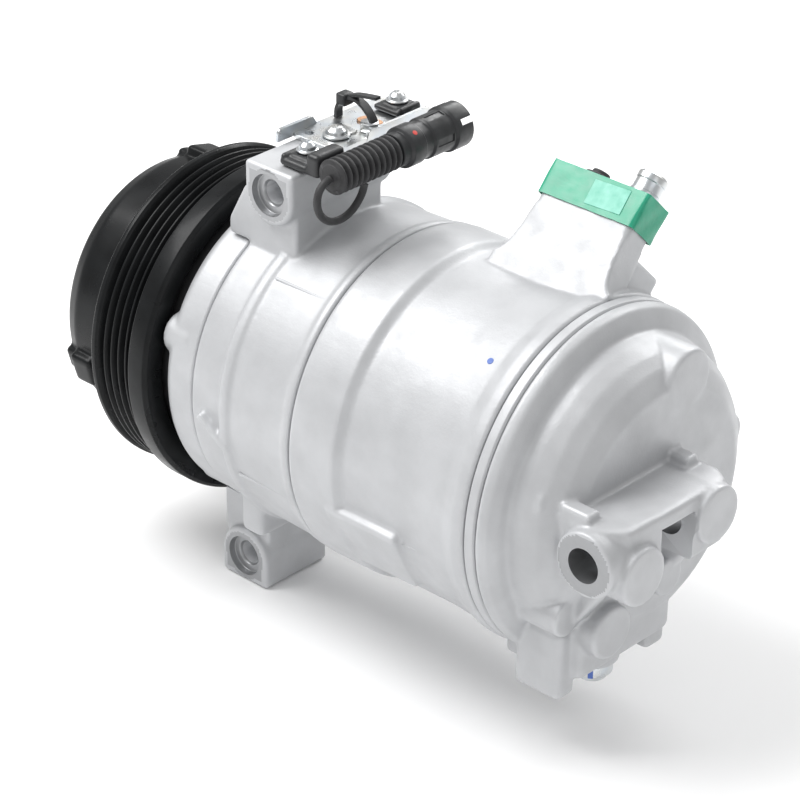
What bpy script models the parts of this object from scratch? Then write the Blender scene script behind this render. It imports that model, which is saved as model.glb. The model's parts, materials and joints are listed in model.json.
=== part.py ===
"""Automotive air-conditioning compressor: swash-plate pump with a belt pulley and a magnetic clutch.

The shaft lies along X, with the pulley at -X and the rear head at +X. Axial stations and radii are
measured from the pulley's rear face on the shaft axis, and the whole model is then set on Z = 0.
"""

import math

import bmesh
import bpy
from mathutils import Matrix, Vector

MM = 0.001

# ---------------------------------------------------------------- driving dimensions
GAP = 0.3 * MM                       # between faces that touch on the real object
RUNNING_GAP = 0.6 * MM               # between faces that turn or slide past each other
FINE = 32                            # sides of the large turned pieces
INNER = 24                           # sides of the large pieces inside
MEDIUM = 16                          # sides of the bores and bearings
COARSE = 10                          # sides of the bosses, screws and shoes
BOLT_SIDES = 8

BODY_RADIUS = 59.5 * MM
BODY_WALL = 4.5 * MM
BAND_HEIGHT = 1.6 * MM               # raised casting bands on the two body halves
HEAD_START = 4.0 * MM                # front head's front face, behind the pulley's rear face
HEAD_FLANGE_LENGTH = 15.0 * MM
FRONT_BODY_LENGTH = 50.0 * MM
REAR_BODY_LENGTH = 79.0 * MM
REAR_PLATE_THICKNESS = 4.4 * MM
FRONT_PLATE_THICKNESS = 4.0 * MM
REAR_HEAD_LENGTH = 26.0 * MM
REAR_HEAD_FACE_RADIUS = 42.5 * MM
REAR_BOSSES = (                      # degrees from +Y, inset from the shoulder, radius, past the face
    (9.3, 13.5 * MM, 7.4 * MM, -6.4 * MM),
    (70.7, 11.1 * MM, 11.5 * MM, 0.8 * MM),
    (161.0, 9.6 * MM, 8.0 * MM, -8.6 * MM),
    (234.0, 9.1 * MM, 9.5 * MM, 4.6 * MM),
    (304.0, 13.0 * MM, 8.0 * MM, -8.0 * MM))
BOLT_REACH = 8.0 * MM                # of the through bolts into the rear head

PULLEY_RADIUS = 59.5 * MM            # over the belt ribs
PULLEY_REAR_RADIUS = 62.0 * MM
PULLEY_REAR_BAND = 9.0 * MM
PULLEY_WALL = 4.0 * MM
RIB_PITCH = 3.56 * MM
RIB_COUNT = 5
GROOVE_DEPTH = 2.6 * MM
PULLEY_FRONT_BAND = 3.5 * MM
FRICTION_WALL = 4.5 * MM
BEARING_OUTER_RADIUS = 25.0 * MM
BEARING_INNER_RADIUS = 17.5 * MM
BEARING_LENGTH = 20.0 * MM
BEARING_RACE = 2.6 * MM

CLUTCH_AIR_GAP = 0.8 * MM            # between armature plate and pulley when the coil is off
ARMATURE_THICKNESS = 4.0 * MM
DRUM_RADIUS = 50.5 * MM
DRUM_LENGTH = 21.0 * MM
DRUM_WALL = 2.5 * MM
TAB_COUNT = 3                        # raised tabs round the drum
FIRST_TAB_ANGLE = math.radians(76.0)
TAB_WIDTH = 12.4 * MM
TAB_HEIGHT = 3.4 * MM
DRUM_OPENING = 30.0 * MM             # radius of the hole in the drum's front
HUB_RECESS = 11.0 * MM               # hub's front face, behind the drum's front
HUB_FLANGE_RADIUS = 25.0 * MM
HUB_FLANGE_THICKNESS = 4.0 * MM
HUB_BARREL_RADIUS = 13.0 * MM

SHAFT_RADIUS = 8.7 * MM
NOSE_RADIUS = 7.0 * MM
THREAD_RADIUS = 4.9 * MM
NUT_LENGTH = 8.0 * MM
NUT_RADIUS = 9.6 * MM                # over its corners
NEEDLE_THICKNESS = 3.6 * MM
BLOCK_CLEARANCE = 0.5 * MM
BOLT_RADIUS = 3.0 * MM
BOLT_HOLE_CLEARANCE = 0.5 * MM
BOLT_CIRCLE = 49.0 * MM
BOLT_HEAD_RADIUS = 5.0 * MM
BOLT_HEAD_LENGTH = 5.0 * MM
BOLT_BOSS_RADIUS = 8.2 * MM
BOLT_SEAT_DEPTH = 3.0 * MM           # the bolt heads' counterbores, behind the head's front face
BOSS_HEIGHT = 2.5 * MM               # the front bolt bosses stand this far out of the front head
BOSS_BULGE = 1.0 * MM                # and this far past its rim
BOLT_COUNT = 5
FIRST_BOLT_ANGLE = math.radians(16.0)

BORE_RADIUS = 15.0 * MM
PISTON_CLEARANCE = 0.3 * MM
PISTON_CIRCLE = 36.0 * MM
SWASH_ANGLE = math.radians(13.0)
SWASH_HALF_THICKNESS = 4.0 * MM
SWASH_RADIUS = 43.0 * MM
SWASH_BORE_RADIUS = 22.0 * MM
BALL_RADIUS = 10.0 * MM
SHOE_RIM_RADIUS = 7.2 * MM
HUB_HALF_LENGTH = 12.0 * MM
CAVITY_HALF_LENGTH = 16.0 * MM
DEAD_SPACE = 0.9 * MM

LUG_HALF_WIDTH = 11.2 * MM
LUG_BORE_RADIUS = 4.25 * MM
LUG_BORE_HEIGHT = 74.0 * MM          # bolt bores above and below the shaft axis
LUG_COUNTERBORE_RADIUS = 7.4 * MM
LUG_NEAR_FACE = 33.0 * MM            # toward -Y, both front lugs
UPPER_LUG_STATION = 33.0 * MM
UPPER_LUG_LENGTH = 50.0 * MM
LOWER_LUG_STATION = 18.0 * MM
LOWER_LUG_LENGTH = 31.0 * MM
LUG_TOP = 84.0 * MM

BRACKET_REACH = 10.1 * MM             # rear bolt bore, behind the rear head's face
BRACKET_BORE_HEIGHT = 3.0 * MM
BRACKET_BORE_RADIUS = 6.1 * MM
BRACKET_COLLAR_RADIUS = 11.5 * MM
BRACKET_NEAR_FACE = 50.0 * MM
BRACKET_WIDTH = 62.0 * MM
BRACKET_DEPTH = 22.0 * MM
BRACKET_TOP = 15.0 * MM
BRACKET_HEIGHT = 24.0 * MM
PAD_RADIUS = 10.0 * MM

PORT_TILT = math.radians(45.0)       # port block leans away from the near side
PORT_WIDTH = 39.5 * MM
PORT_THICKNESS = 14.0 * MM
PORT_REACH = 85.5 * MM               # from the shaft axis along the block's lean
PORT_OFFSET = 32.0 * MM              # block's middle plane from the shaft axis
PORT_SETBACK = 25.0 * MM              # port block's middle, before the rear seam
TAPE_HEIGHT = 12.5 * MM
TAPE_THICKNESS = 0.8 * MM

SHEET = 1.6 * MM                     # sensor bracket's sheet metal
SCREW_SHANK = 11.0 * MM               # of the clips' dome screws, under their heads
CLIP_HEIGHT = 4.4 * MM
RIGHT_CLIP_HEIGHT = 3.0 * MM
LEFT_CLIP_STATION = UPPER_LUG_STATION + 7.0 * MM
LEFT_CLIP_Y = -21.0 * MM
BRACKET_SCREW_STATION = UPPER_LUG_STATION + 1.0 * MM
BRACKET_SCREW_Y = -1.0 * MM
RIGHT_CLIP_Y = 29.0 * MM
SCREW_HOLE_RADIUS = 2.3 * MM
BRACKET_THREAD = 3.6 * MM             # how far the bracket screw reaches into the upper lug
BOOT_START = -30.0 * MM              # the boot and the connector lie along Y
BOOT_END = -1.0 * MM
BOOT_RADIUS = 6.6 * MM
BOOT_RIDGES = 10
CONNECTOR_MOUTH = 32.0 * MM
CONNECTOR_STATION = 59.5 * MM
CONNECTOR_HEIGHT = 88.0 * MM
CONNECTOR_RADIUS = 7.4 * MM
LEAD_RADIUS = 1.35 * MM
TIE_STATION = 33.5 * MM              # the cable tie's arch over the sensor bracket
TIE_Y = 13.5 * MM
TIE_SPAN = 15.0 * MM

# ---------------------------------------------------------------- derived sizes and stations
FRONT_HEAD_RADIUS = BODY_RADIUS - 2.0 * MM
FRONT_BOSS_CIRCLE = FRONT_HEAD_RADIUS + BOSS_BULGE - BOLT_BOSS_RADIUS
BOLT_SEAT = HEAD_START + BOLT_SEAT_DEPTH
BOSS_FRONT = HEAD_START - BOSS_HEIGHT
SEAM_FRONT = HEAD_START + HEAD_FLANGE_LENGTH
SEAM_MIDDLE = SEAM_FRONT + FRONT_BODY_LENGTH
SEAM_REAR = SEAM_MIDDLE + REAR_BODY_LENGTH
REAR_HEAD_START = SEAM_REAR + REAR_PLATE_THICKNESS
REAR_FACE = REAR_HEAD_START + REAR_HEAD_LENGTH
BRACKET_STATION = REAR_FACE + BRACKET_REACH
PORT_STATION = SEAM_REAR - PORT_SETBACK
BODY_BORE = BODY_RADIUS - BODY_WALL
BLOCK_RADIUS = BODY_BORE - BLOCK_CLEARANCE
BLOCK_START = SEAM_FRONT + FRONT_PLATE_THICKNESS + 2.0 * GAP
BLOCK_END = SEAM_REAR - GAP
SWASH_STATION = (BLOCK_START + BLOCK_END) / 2.0
HALF_STROKE = PISTON_CIRCLE * math.tan(SWASH_ANGLE)
PISTON_HALF_LENGTH = (BLOCK_END - BLOCK_START) / 2.0 - HALF_STROKE - DEAD_SPACE
PISTON_RADIUS = BORE_RADIUS - PISTON_CLEARANCE
SOCKET_RADIUS = BALL_RADIUS + GAP
HALF_WINDOW = (SWASH_HALF_THICKNESS / math.cos(SWASH_ANGLE)
               + PISTON_RADIUS * math.tan(SWASH_ANGLE) + RUNNING_GAP)
SHOE_AXIS_CIRCLE = PISTON_CIRCLE * (1.0 / math.cos(SWASH_ANGLE) + 1.0) / 2.0
BOLT_HOLE_RADIUS = BOLT_RADIUS + BOLT_HOLE_CLEARANCE
PULLEY_FRONT = -(PULLEY_REAR_BAND + RIB_COUNT * RIB_PITCH + PULLEY_FRONT_BAND)
ARMATURE_REAR = PULLEY_FRONT - CLUTCH_AIR_GAP
ARMATURE_FRONT = ARMATURE_REAR - ARMATURE_THICKNESS
DRUM_REAR = ARMATURE_FRONT - 1.2 * MM
DRUM_FRONT = DRUM_REAR - DRUM_LENGTH
HUB_FACE = DRUM_FRONT + HUB_RECESS
NEEDLE_OUTER = SHAFT_RADIUS + GAP + NEEDLE_THICKNESS
SHEET_LOW = LUG_TOP + GAP
SHEET_HIGH = SHEET_LOW + SHEET
TILT_NORMAL = Vector((math.cos(SWASH_ANGLE), -math.sin(SWASH_ANGLE), 0.0))
TILT_ALONG = Vector((math.sin(SWASH_ANGLE), math.cos(SWASH_ANGLE), 0.0))
PORT_ALONG = Vector((0.0, math.sin(PORT_TILT), math.cos(PORT_TILT)))
PORT_ACROSS = Vector((0.0, math.cos(PORT_TILT), -math.sin(PORT_TILT)))

TURN_TO_X = Matrix.Rotation(math.radians(90.0), 4, "Y")
TURN_TO_Y = Matrix.Rotation(math.radians(-90.0), 4, "X")


# ---------------------------------------------------------------- modelling helpers
def clear_scene():
    for old in list(bpy.data.objects):
        bpy.data.objects.remove(old, do_unlink=True)


def new_collection(name):
    collection = bpy.data.collections.new(name)
    bpy.context.scene.collection.children.link(collection)
    return collection


clear_scene()
PARTS = new_collection("ac_compressor")
CUTTERS = new_collection("cutters")


def make_material(name, color, roughness, metallic):
    material = bpy.data.materials.new(name)
    material.use_nodes = True
    shader = material.node_tree.nodes["Principled BSDF"]
    shader.inputs["Base Color"].default_value = (*color, 1.0)
    shader.inputs["Roughness"].default_value = roughness
    shader.inputs["Metallic"].default_value = metallic
    return material


CAST = make_material("cast_aluminium", (0.72, 0.73, 0.74), 0.45, 0.85)
BLACK_PAINT = make_material("black_paint", (0.012, 0.012, 0.013), 0.22, 0.1)
COIL_BLACK = make_material("coil_black", (0.02, 0.02, 0.022), 0.5, 0.0)
STEEL = make_material("machined_steel", (0.55, 0.56, 0.58), 0.28, 1.0)
ZINC = make_material("zinc_plate", (0.78, 0.8, 0.82), 0.25, 1.0)
BRONZE = make_material("bearing_bronze", (0.55, 0.36, 0.18), 0.35, 1.0)
PLASTIC = make_material("black_plastic", (0.02, 0.021, 0.022), 0.4, 0.0)
RUBBER = make_material("rubber", (0.03, 0.03, 0.03), 0.7, 0.0)
TAPE = make_material("green_tape", (0.02, 0.62, 0.42), 0.4, 0.0)


def add_object(name, mesh, parent, matrix, material=None, cutter=False):
    """Link a mesh as a named object, placed by matrix within its parent."""
    item = bpy.data.objects.new(name, mesh)
    (CUTTERS if cutter else PARTS).objects.link(item)
    item.parent = parent
    item.matrix_local = matrix
    if cutter:
        item.hide_render = True
        item.display_type = "WIRE"
    else:
        item.data.materials.append(material)
    return item


def add_axis(name, parent, matrix):
    """An empty whose local Z axis is a joint's axis."""
    axis = bpy.data.objects.new(name, None)
    axis.empty_display_size = 0.01
    PARTS.objects.link(axis)
    axis.parent = parent
    axis.matrix_local = matrix
    return axis


def smooth_shade(mesh, angle=35.0):
    mesh.shade_smooth()
    mesh.set_sharp_from_angle(angle=math.radians(angle))


def signed_area(points):
    total = 0.0
    for here, there in zip(points, points[1:] + points[:1]):
        total += here[0] * there[1] - there[0] * here[1]
    return total / 2.0


def turned_mesh(name, outline, sides):
    """Revolve an outline of (station, radius) points about local Z, closed by itself or on the axis."""
    if signed_area(outline) > 0.0:
        outline = outline[::-1]
    open_ended = any(radius == 0.0 for _, radius in outline)
    if open_ended:
        count = len(outline)
        start = next(i for i in range(count)
                     if outline[i][1] == 0.0 and outline[i - 1][1] == 0.0)
        outline = outline[start:] + outline[:start]
    mesh = bpy.data.meshes.new(name)
    shape = bmesh.new()
    points = [shape.verts.new((radius, 0.0, station)) for station, radius in outline]
    for here, there in zip(points, points[1:]):
        shape.edges.new((here, there))
    if not open_ended:
        shape.edges.new((points[-1], points[0]))
    shape.to_mesh(mesh)
    shape.free()
    holder = bpy.data.objects.new(name + "_outline", mesh)
    CUTTERS.objects.link(holder)
    screw = holder.modifiers.new("Turn", "SCREW")
    screw.steps = sides
    screw.render_steps = sides
    screw.use_merge_vertices = True
    screw.merge_threshold = 0.00001
    screw.use_normal_calculate = True
    bpy.context.view_layer.update()
    evaluated = holder.evaluated_get(bpy.context.evaluated_depsgraph_get())
    turned = bpy.data.meshes.new_from_object(evaluated)
    turned.name = name
    bpy.data.objects.remove(holder, do_unlink=True)
    bpy.data.meshes.remove(mesh)
    face_outward(turned)
    smooth_shade(turned)
    return turned


def face_outward(mesh):
    shape = bmesh.new()
    shape.from_mesh(mesh)
    bmesh.ops.recalc_face_normals(shape, faces=shape.faces)
    if shape.calc_volume(signed=True) < 0.0:
        bmesh.ops.reverse_faces(shape, faces=shape.faces)
    shape.to_mesh(mesh)
    shape.free()


def turned(name, outline, parent, material, sides=FINE, matrix=None, cutter=False):
    """A turned piece about its parent's X axis, or about local Z of a given matrix."""
    mesh = turned_mesh(name, outline, sides)
    return add_object(name, mesh, parent, TURN_TO_X if matrix is None else matrix, material, cutter)


def ring_outline(start, end, inner, outer):
    return [(start, inner), (start, outer), (end, outer), (end, inner)]


def rod_outline(start, end, radius):
    return [(start, 0.0), (start, radius), (end, radius), (end, 0.0)]


def box_mesh(name, low, high, bevel=0.0):
    mesh = bpy.data.meshes.new(name)
    shape = bmesh.new()
    bmesh.ops.create_cube(shape, size=1.0)
    size = Vector(high) - Vector(low)
    middle = (Vector(high) + Vector(low)) / 2.0
    bmesh.ops.scale(shape, vec=size, verts=shape.verts)
    bmesh.ops.translate(shape, vec=middle, verts=shape.verts)
    if bevel > 0.0:
        bmesh.ops.bevel(shape, geom=list(shape.edges), offset=bevel, segments=1, profile=0.5,
                        affect="EDGES")
    shape.to_mesh(mesh)
    shape.free()
    smooth_shade(mesh)
    return mesh


def box(name, low, high, parent, material=None, bevel=0.0, matrix=None, cutter=False):
    mesh = box_mesh(name, low, high, bevel)
    return add_object(name, mesh, parent, Matrix() if matrix is None else matrix, material, cutter)


def prism(name, outline, depth, parent, material, matrix, cutter=False, bevel=0.0):
    """Extrude a closed outline of (x, y) points by depth along local Z."""
    mesh = bpy.data.meshes.new(name)
    shape = bmesh.new()
    corners = [shape.verts.new((x, y, 0.0)) for x, y in outline]
    face = shape.faces.new(corners)
    grown = bmesh.ops.extrude_face_region(shape, geom=[face])
    moved = [item for item in grown["geom"] if isinstance(item, bmesh.types.BMVert)]
    bmesh.ops.translate(shape, vec=(0.0, 0.0, depth), verts=moved)
    bmesh.ops.recalc_face_normals(shape, faces=shape.faces)
    if bevel > 0.0:
        bmesh.ops.bevel(shape, geom=list(shape.edges), offset=bevel, segments=1, profile=0.5,
                        affect="EDGES")
    shape.to_mesh(mesh)
    shape.free()
    smooth_shade(mesh)
    return add_object(name, mesh, parent, matrix, material, cutter)


def arc(center, radius, start, end, count):
    """Points on an arc, both ends included, angles in degrees."""
    points = []
    for step in range(count):
        angle = math.radians(start + (end - start) * step / (count - 1))
        points.append((center[0] + radius * math.cos(angle), center[1] + radius * math.sin(angle)))
    return points


def boolean(target, tool, operation):
    modifier = target.modifiers.new(operation.title() + "_" + tool.name, "BOOLEAN")
    modifier.operation = operation
    modifier.object = tool
    modifier.solver = "MANIFOLD" if target.name == "rear_head" else "EXACT"


def cut(target, *tools):
    for tool in tools:
        boolean(target, tool, "DIFFERENCE")


def fuse(target, *tools):
    for tool in tools:
        boolean(target, tool, "UNION")


def weld(target):
    """Merge the doubled corners that the Booleans leave."""
    modifier = target.modifiers.new("Weld", "WELD")
    modifier.merge_threshold = 0.000004


def along_y(x, y, z):
    """Local Z runs toward +Y from the point."""
    return Matrix.Translation((x, y, z)) @ TURN_TO_Y


def along_x(x, y, z):
    return Matrix.Translation((x, y, z)) @ TURN_TO_X


def bolt_angles():
    return [FIRST_BOLT_ANGLE + 2.0 * math.pi * k / BOLT_COUNT for k in range(BOLT_COUNT)]


def piston_angles():
    return [angle + math.pi / BOLT_COUNT for angle in bolt_angles()]


def on_circle(radius, angle):
    return radius * math.cos(angle), radius * math.sin(angle)


def axial_tool(name, start, end, radius, circle, angle, parent, sides):
    """A cutter or boss along X at a point of a circle about the shaft."""
    y, z = on_circle(circle, angle)
    return turned(name, rod_outline(0.0, end - start, radius), parent, None, sides,
                  along_x(start, y, z), cutter=True)


FRAME = add_axis("shaft_frame", None, Matrix())


# ---------------------------------------------------------------- clutch and pulley
def rib_outline():
    """The belt grooves, from the front band to the rear band, as (station, radius) points."""
    points = []
    root = PULLEY_RADIUS - GROOVE_DEPTH
    start = PULLEY_FRONT + PULLEY_FRONT_BAND
    for rib in range(RIB_COUNT):
        left = start + rib * RIB_PITCH
        points.append((left + 0.12 * RIB_PITCH, PULLEY_RADIUS))
        points.append((left + 0.5 * RIB_PITCH, root))
        points.append((left + 0.88 * RIB_PITCH, PULLEY_RADIUS))
    return points


def make_pulley():
    axis = add_axis("pulley_axis", FRAME, Matrix())
    rim_bore = PULLEY_RADIUS - GROOVE_DEPTH - PULLEY_WALL
    hub_radius = BEARING_OUTER_RADIUS + 4.0 * MM
    rear_lip = PULLEY_REAR_RADIUS - 1.0 * MM
    outline = [(PULLEY_FRONT, BEARING_OUTER_RADIUS - 1.5 * MM),
               (PULLEY_FRONT, PULLEY_RADIUS - 1.0 * MM),
               (PULLEY_FRONT + 1.0 * MM, PULLEY_RADIUS + 0.8 * MM),
               (PULLEY_FRONT + PULLEY_FRONT_BAND - 0.6 * MM, PULLEY_RADIUS + 0.8 * MM)]
    outline += rib_outline()
    outline += [(-PULLEY_REAR_BAND + 0.8 * MM, PULLEY_REAR_RADIUS),
                (-1.0 * MM, PULLEY_REAR_RADIUS),
                (0.0, rear_lip),
                (0.0, rim_bore),
                (PULLEY_FRONT + FRICTION_WALL, rim_bore),
                (PULLEY_FRONT + FRICTION_WALL, hub_radius),
                (-4.0 * MM, hub_radius),
                (-4.0 * MM, BEARING_OUTER_RADIUS),
                (PULLEY_FRONT + 3.0 * MM, BEARING_OUTER_RADIUS),
                (PULLEY_FRONT + 3.0 * MM, BEARING_OUTER_RADIUS - 1.5 * MM)]
    turned("pulley", outline, axis, BLACK_PAINT)
    bearing_start = PULLEY_FRONT + 3.0 * MM + GAP
    bearing_end = bearing_start + BEARING_LENGTH
    turned("pulley_bearing_outer_race",
           ring_outline(bearing_start, bearing_end, BEARING_OUTER_RADIUS - BEARING_RACE - GAP,
                        BEARING_OUTER_RADIUS - GAP), axis, STEEL, INNER)
    turned("pulley_bearing_inner_race",
           ring_outline(bearing_start, bearing_end, BEARING_INNER_RADIUS + GAP,
                        BEARING_INNER_RADIUS + BEARING_RACE), FRAME, STEEL, INNER)
    turned("pulley_snap_ring",
           ring_outline(bearing_end + GAP, bearing_end + 1.5 * MM, BEARING_INNER_RADIUS + GAP,
                        BEARING_INNER_RADIUS + 2.2 * MM), FRAME, STEEL, INNER)
    coil_inner = hub_radius + 1.2 * MM
    coil_outer = rim_bore - 1.2 * MM
    coil_front = PULLEY_FRONT + FRICTION_WALL + 1.0 * MM
    flange_inner = BEARING_OUTER_RADIUS + 2.2 * MM
    coil_rear = BOSS_FRONT - 2.0 * GAP
    foot_radius = FRONT_BOSS_CIRCLE - BOLT_BOSS_RADIUS - 2.0 * MM
    turned("field_coil",
           [(coil_front, coil_inner), (coil_front, coil_outer), (coil_rear, coil_outer),
            (coil_rear, foot_radius), (HEAD_START - GAP, foot_radius),
            (HEAD_START - GAP, flange_inner), (-2.4 * MM, flange_inner), (-2.4 * MM, coil_inner)],
           FRAME, COIL_BLACK, INNER)


def make_clutch(shaft_axis):
    slide = add_axis("armature_axis", shaft_axis, Matrix())
    plate_bore = HUB_BARREL_RADIUS + 15.0 * MM
    turned("armature_plate",
           [(ARMATURE_FRONT, plate_bore),
            (ARMATURE_FRONT, DRUM_RADIUS + 0.5 * MM),
            (ARMATURE_FRONT + 1.0 * MM, DRUM_RADIUS + 1.5 * MM),
            (ARMATURE_REAR, DRUM_RADIUS + 1.5 * MM),
            (ARMATURE_REAR, plate_bore)], slide, BLACK_PAINT, INNER)
    drum_bore = DRUM_RADIUS - DRUM_WALL
    front_wall = DRUM_FRONT + DRUM_WALL
    drum = turned("drum_cover",
                  [(DRUM_FRONT, DRUM_OPENING), (DRUM_FRONT, DRUM_RADIUS - 7.0 * MM),
                   (DRUM_FRONT + 1.2 * MM, DRUM_RADIUS - 3.6 * MM),
                   (DRUM_FRONT + 4.0 * MM, DRUM_RADIUS - 1.2 * MM),
                   (DRUM_FRONT + 9.0 * MM, DRUM_RADIUS - 0.2 * MM),
                   (DRUM_REAR, DRUM_RADIUS), (DRUM_REAR, drum_bore),
                   (DRUM_FRONT + 5.0 * MM, drum_bore - 1.0 * MM),
                   (front_wall, drum_bore - 4.0 * MM),
                   (front_wall, DRUM_OPENING)], shaft_axis, BLACK_PAINT)
    for index in range(TAB_COUNT):
        angle = FIRST_TAB_ANGLE + 2.0 * math.pi * index / TAB_COUNT
        place = Matrix.Rotation(angle, 4, "X") @ Matrix.Translation((0.0, DRUM_RADIUS, 0.0))
        tab = box("drum_tab_%d" % (index + 1),
                  (DRUM_REAR - 13.5 * MM, -1.6 * MM - DRUM_WALL / 2.0, -TAB_WIDTH / 2.0),
                  (DRUM_REAR - 2.5 * MM, TAB_HEIGHT, TAB_WIDTH / 2.0), shaft_axis, bevel=1.3 * MM,
                  matrix=place, cutter=True)
        fuse(drum, tab)
    nose = NOSE_RADIUS + GAP
    flange_rear = HUB_FACE + HUB_FLANGE_THICKNESS
    hub_rear = PULLEY_FRONT + 1.0 * MM
    turned("clutch_hub",
           [(HUB_FACE, nose), (HUB_FACE, HUB_FLANGE_RADIUS), (flange_rear, HUB_FLANGE_RADIUS),
            (flange_rear, HUB_BARREL_RADIUS), (hub_rear, HUB_BARREL_RADIUS), (hub_rear, nose)],
           shaft_axis, BLACK_PAINT, MEDIUM)
    turned("damper_ring",
           ring_outline(front_wall + GAP, flange_rear, HUB_FLANGE_RADIUS + GAP,
                        DRUM_OPENING + 6.0 * MM), shaft_axis, RUBBER, INNER)
    nut_rear = HUB_FACE - GAP
    nut = turned("hub_nut", rod_outline(nut_rear - NUT_LENGTH, nut_rear, NUT_RADIUS), shaft_axis,
                 ZINC, 6)
    cut(nut, turned("hub_nut_bore", rod_outline(nut_rear - 2.0 * NUT_LENGTH, nut_rear + NUT_LENGTH,
                                                THREAD_RADIUS + GAP),
                    shaft_axis, None, MEDIUM, cutter=True))


# ---------------------------------------------------------------- castings
def bolt_holes(prefix, start, end, radius=BOLT_HOLE_RADIUS):
    return [axial_tool("%s_hole_%d" % (prefix, k + 1), start, end, radius, BOLT_CIRCLE, angle,
                       FRAME, BOLT_SIDES)
            for k, angle in enumerate(bolt_angles())]


def make_front_head():
    radius = FRONT_HEAD_RADIUS
    seat = BEARING_INNER_RADIUS
    chamber = BOLT_CIRCLE - 6.0 * MM
    seal_radius = SHAFT_RADIUS + 7.0 * MM
    nose_front = PULLEY_FRONT + 3.0 * MM
    shoulder = BEARING_OUTER_RADIUS + 2.2 * MM - GAP
    head = turned("front_head",
                  [(SEAM_FRONT - GAP, radius), (HEAD_START + 2.0 * MM, radius),
                   (HEAD_START, radius - 2.0 * MM), (HEAD_START, shoulder),
                   (-0.5 * MM, shoulder), (-0.5 * MM, seat), (nose_front, seat),
                   (nose_front, SHAFT_RADIUS + 1.6 * MM), (-3.0 * MM, SHAFT_RADIUS + 1.6 * MM),
                   (-3.0 * MM, seal_radius), (SEAM_FRONT - GAP, seal_radius),
                   (SEAM_FRONT - GAP, seal_radius + 4.0 * MM),
                   (HEAD_START + 5.0 * MM, seal_radius + 4.0 * MM),
                   (HEAD_START + 5.0 * MM, chamber), (SEAM_FRONT - GAP, chamber)], FRAME, CAST)
    for k, angle in enumerate(bolt_angles()):
        boss = axial_tool("front_boss_%d" % (k + 1), BOSS_FRONT, SEAM_FRONT - 4.0 * MM,
                          BOLT_BOSS_RADIUS, FRONT_BOSS_CIRCLE, angle, FRAME, COARSE)
        fuse(head, boss)
    cut(head, *bolt_holes("head", HEAD_START - 5.0 * MM, SEAM_FRONT + 2.0 * MM))
    cut(head, *bolt_holes("head_counterbore", HEAD_START - 5.0 * MM, BOLT_SEAT,
                          BOLT_HEAD_RADIUS + 2.0 * GAP))
    weld(head)


def lug_outline(flat_side):
    """A lug's end view about its bore: round on the body side, square on the flat side."""
    half = LUG_HALF_WIDTH
    round_side = arc((0.0, 0.0), half, 180.0, 360.0, 9)
    points = round_side + [(half, flat_side), (-half, flat_side)]
    return points


def make_lug(name, station, height, length, flat_side, up):
    """A transverse lug along +Y from its near face, as a fusing tool."""
    turn = Matrix.Rotation(math.radians(90.0), 4, "X")
    if not up:
        turn = turn @ Matrix.Rotation(math.radians(180.0), 4, "Z")
    place = Matrix.Translation((station, -LUG_NEAR_FACE + length, height)) @ turn
    return prism(name, lug_outline(flat_side), length, FRAME, None, place, cutter=True)


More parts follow.
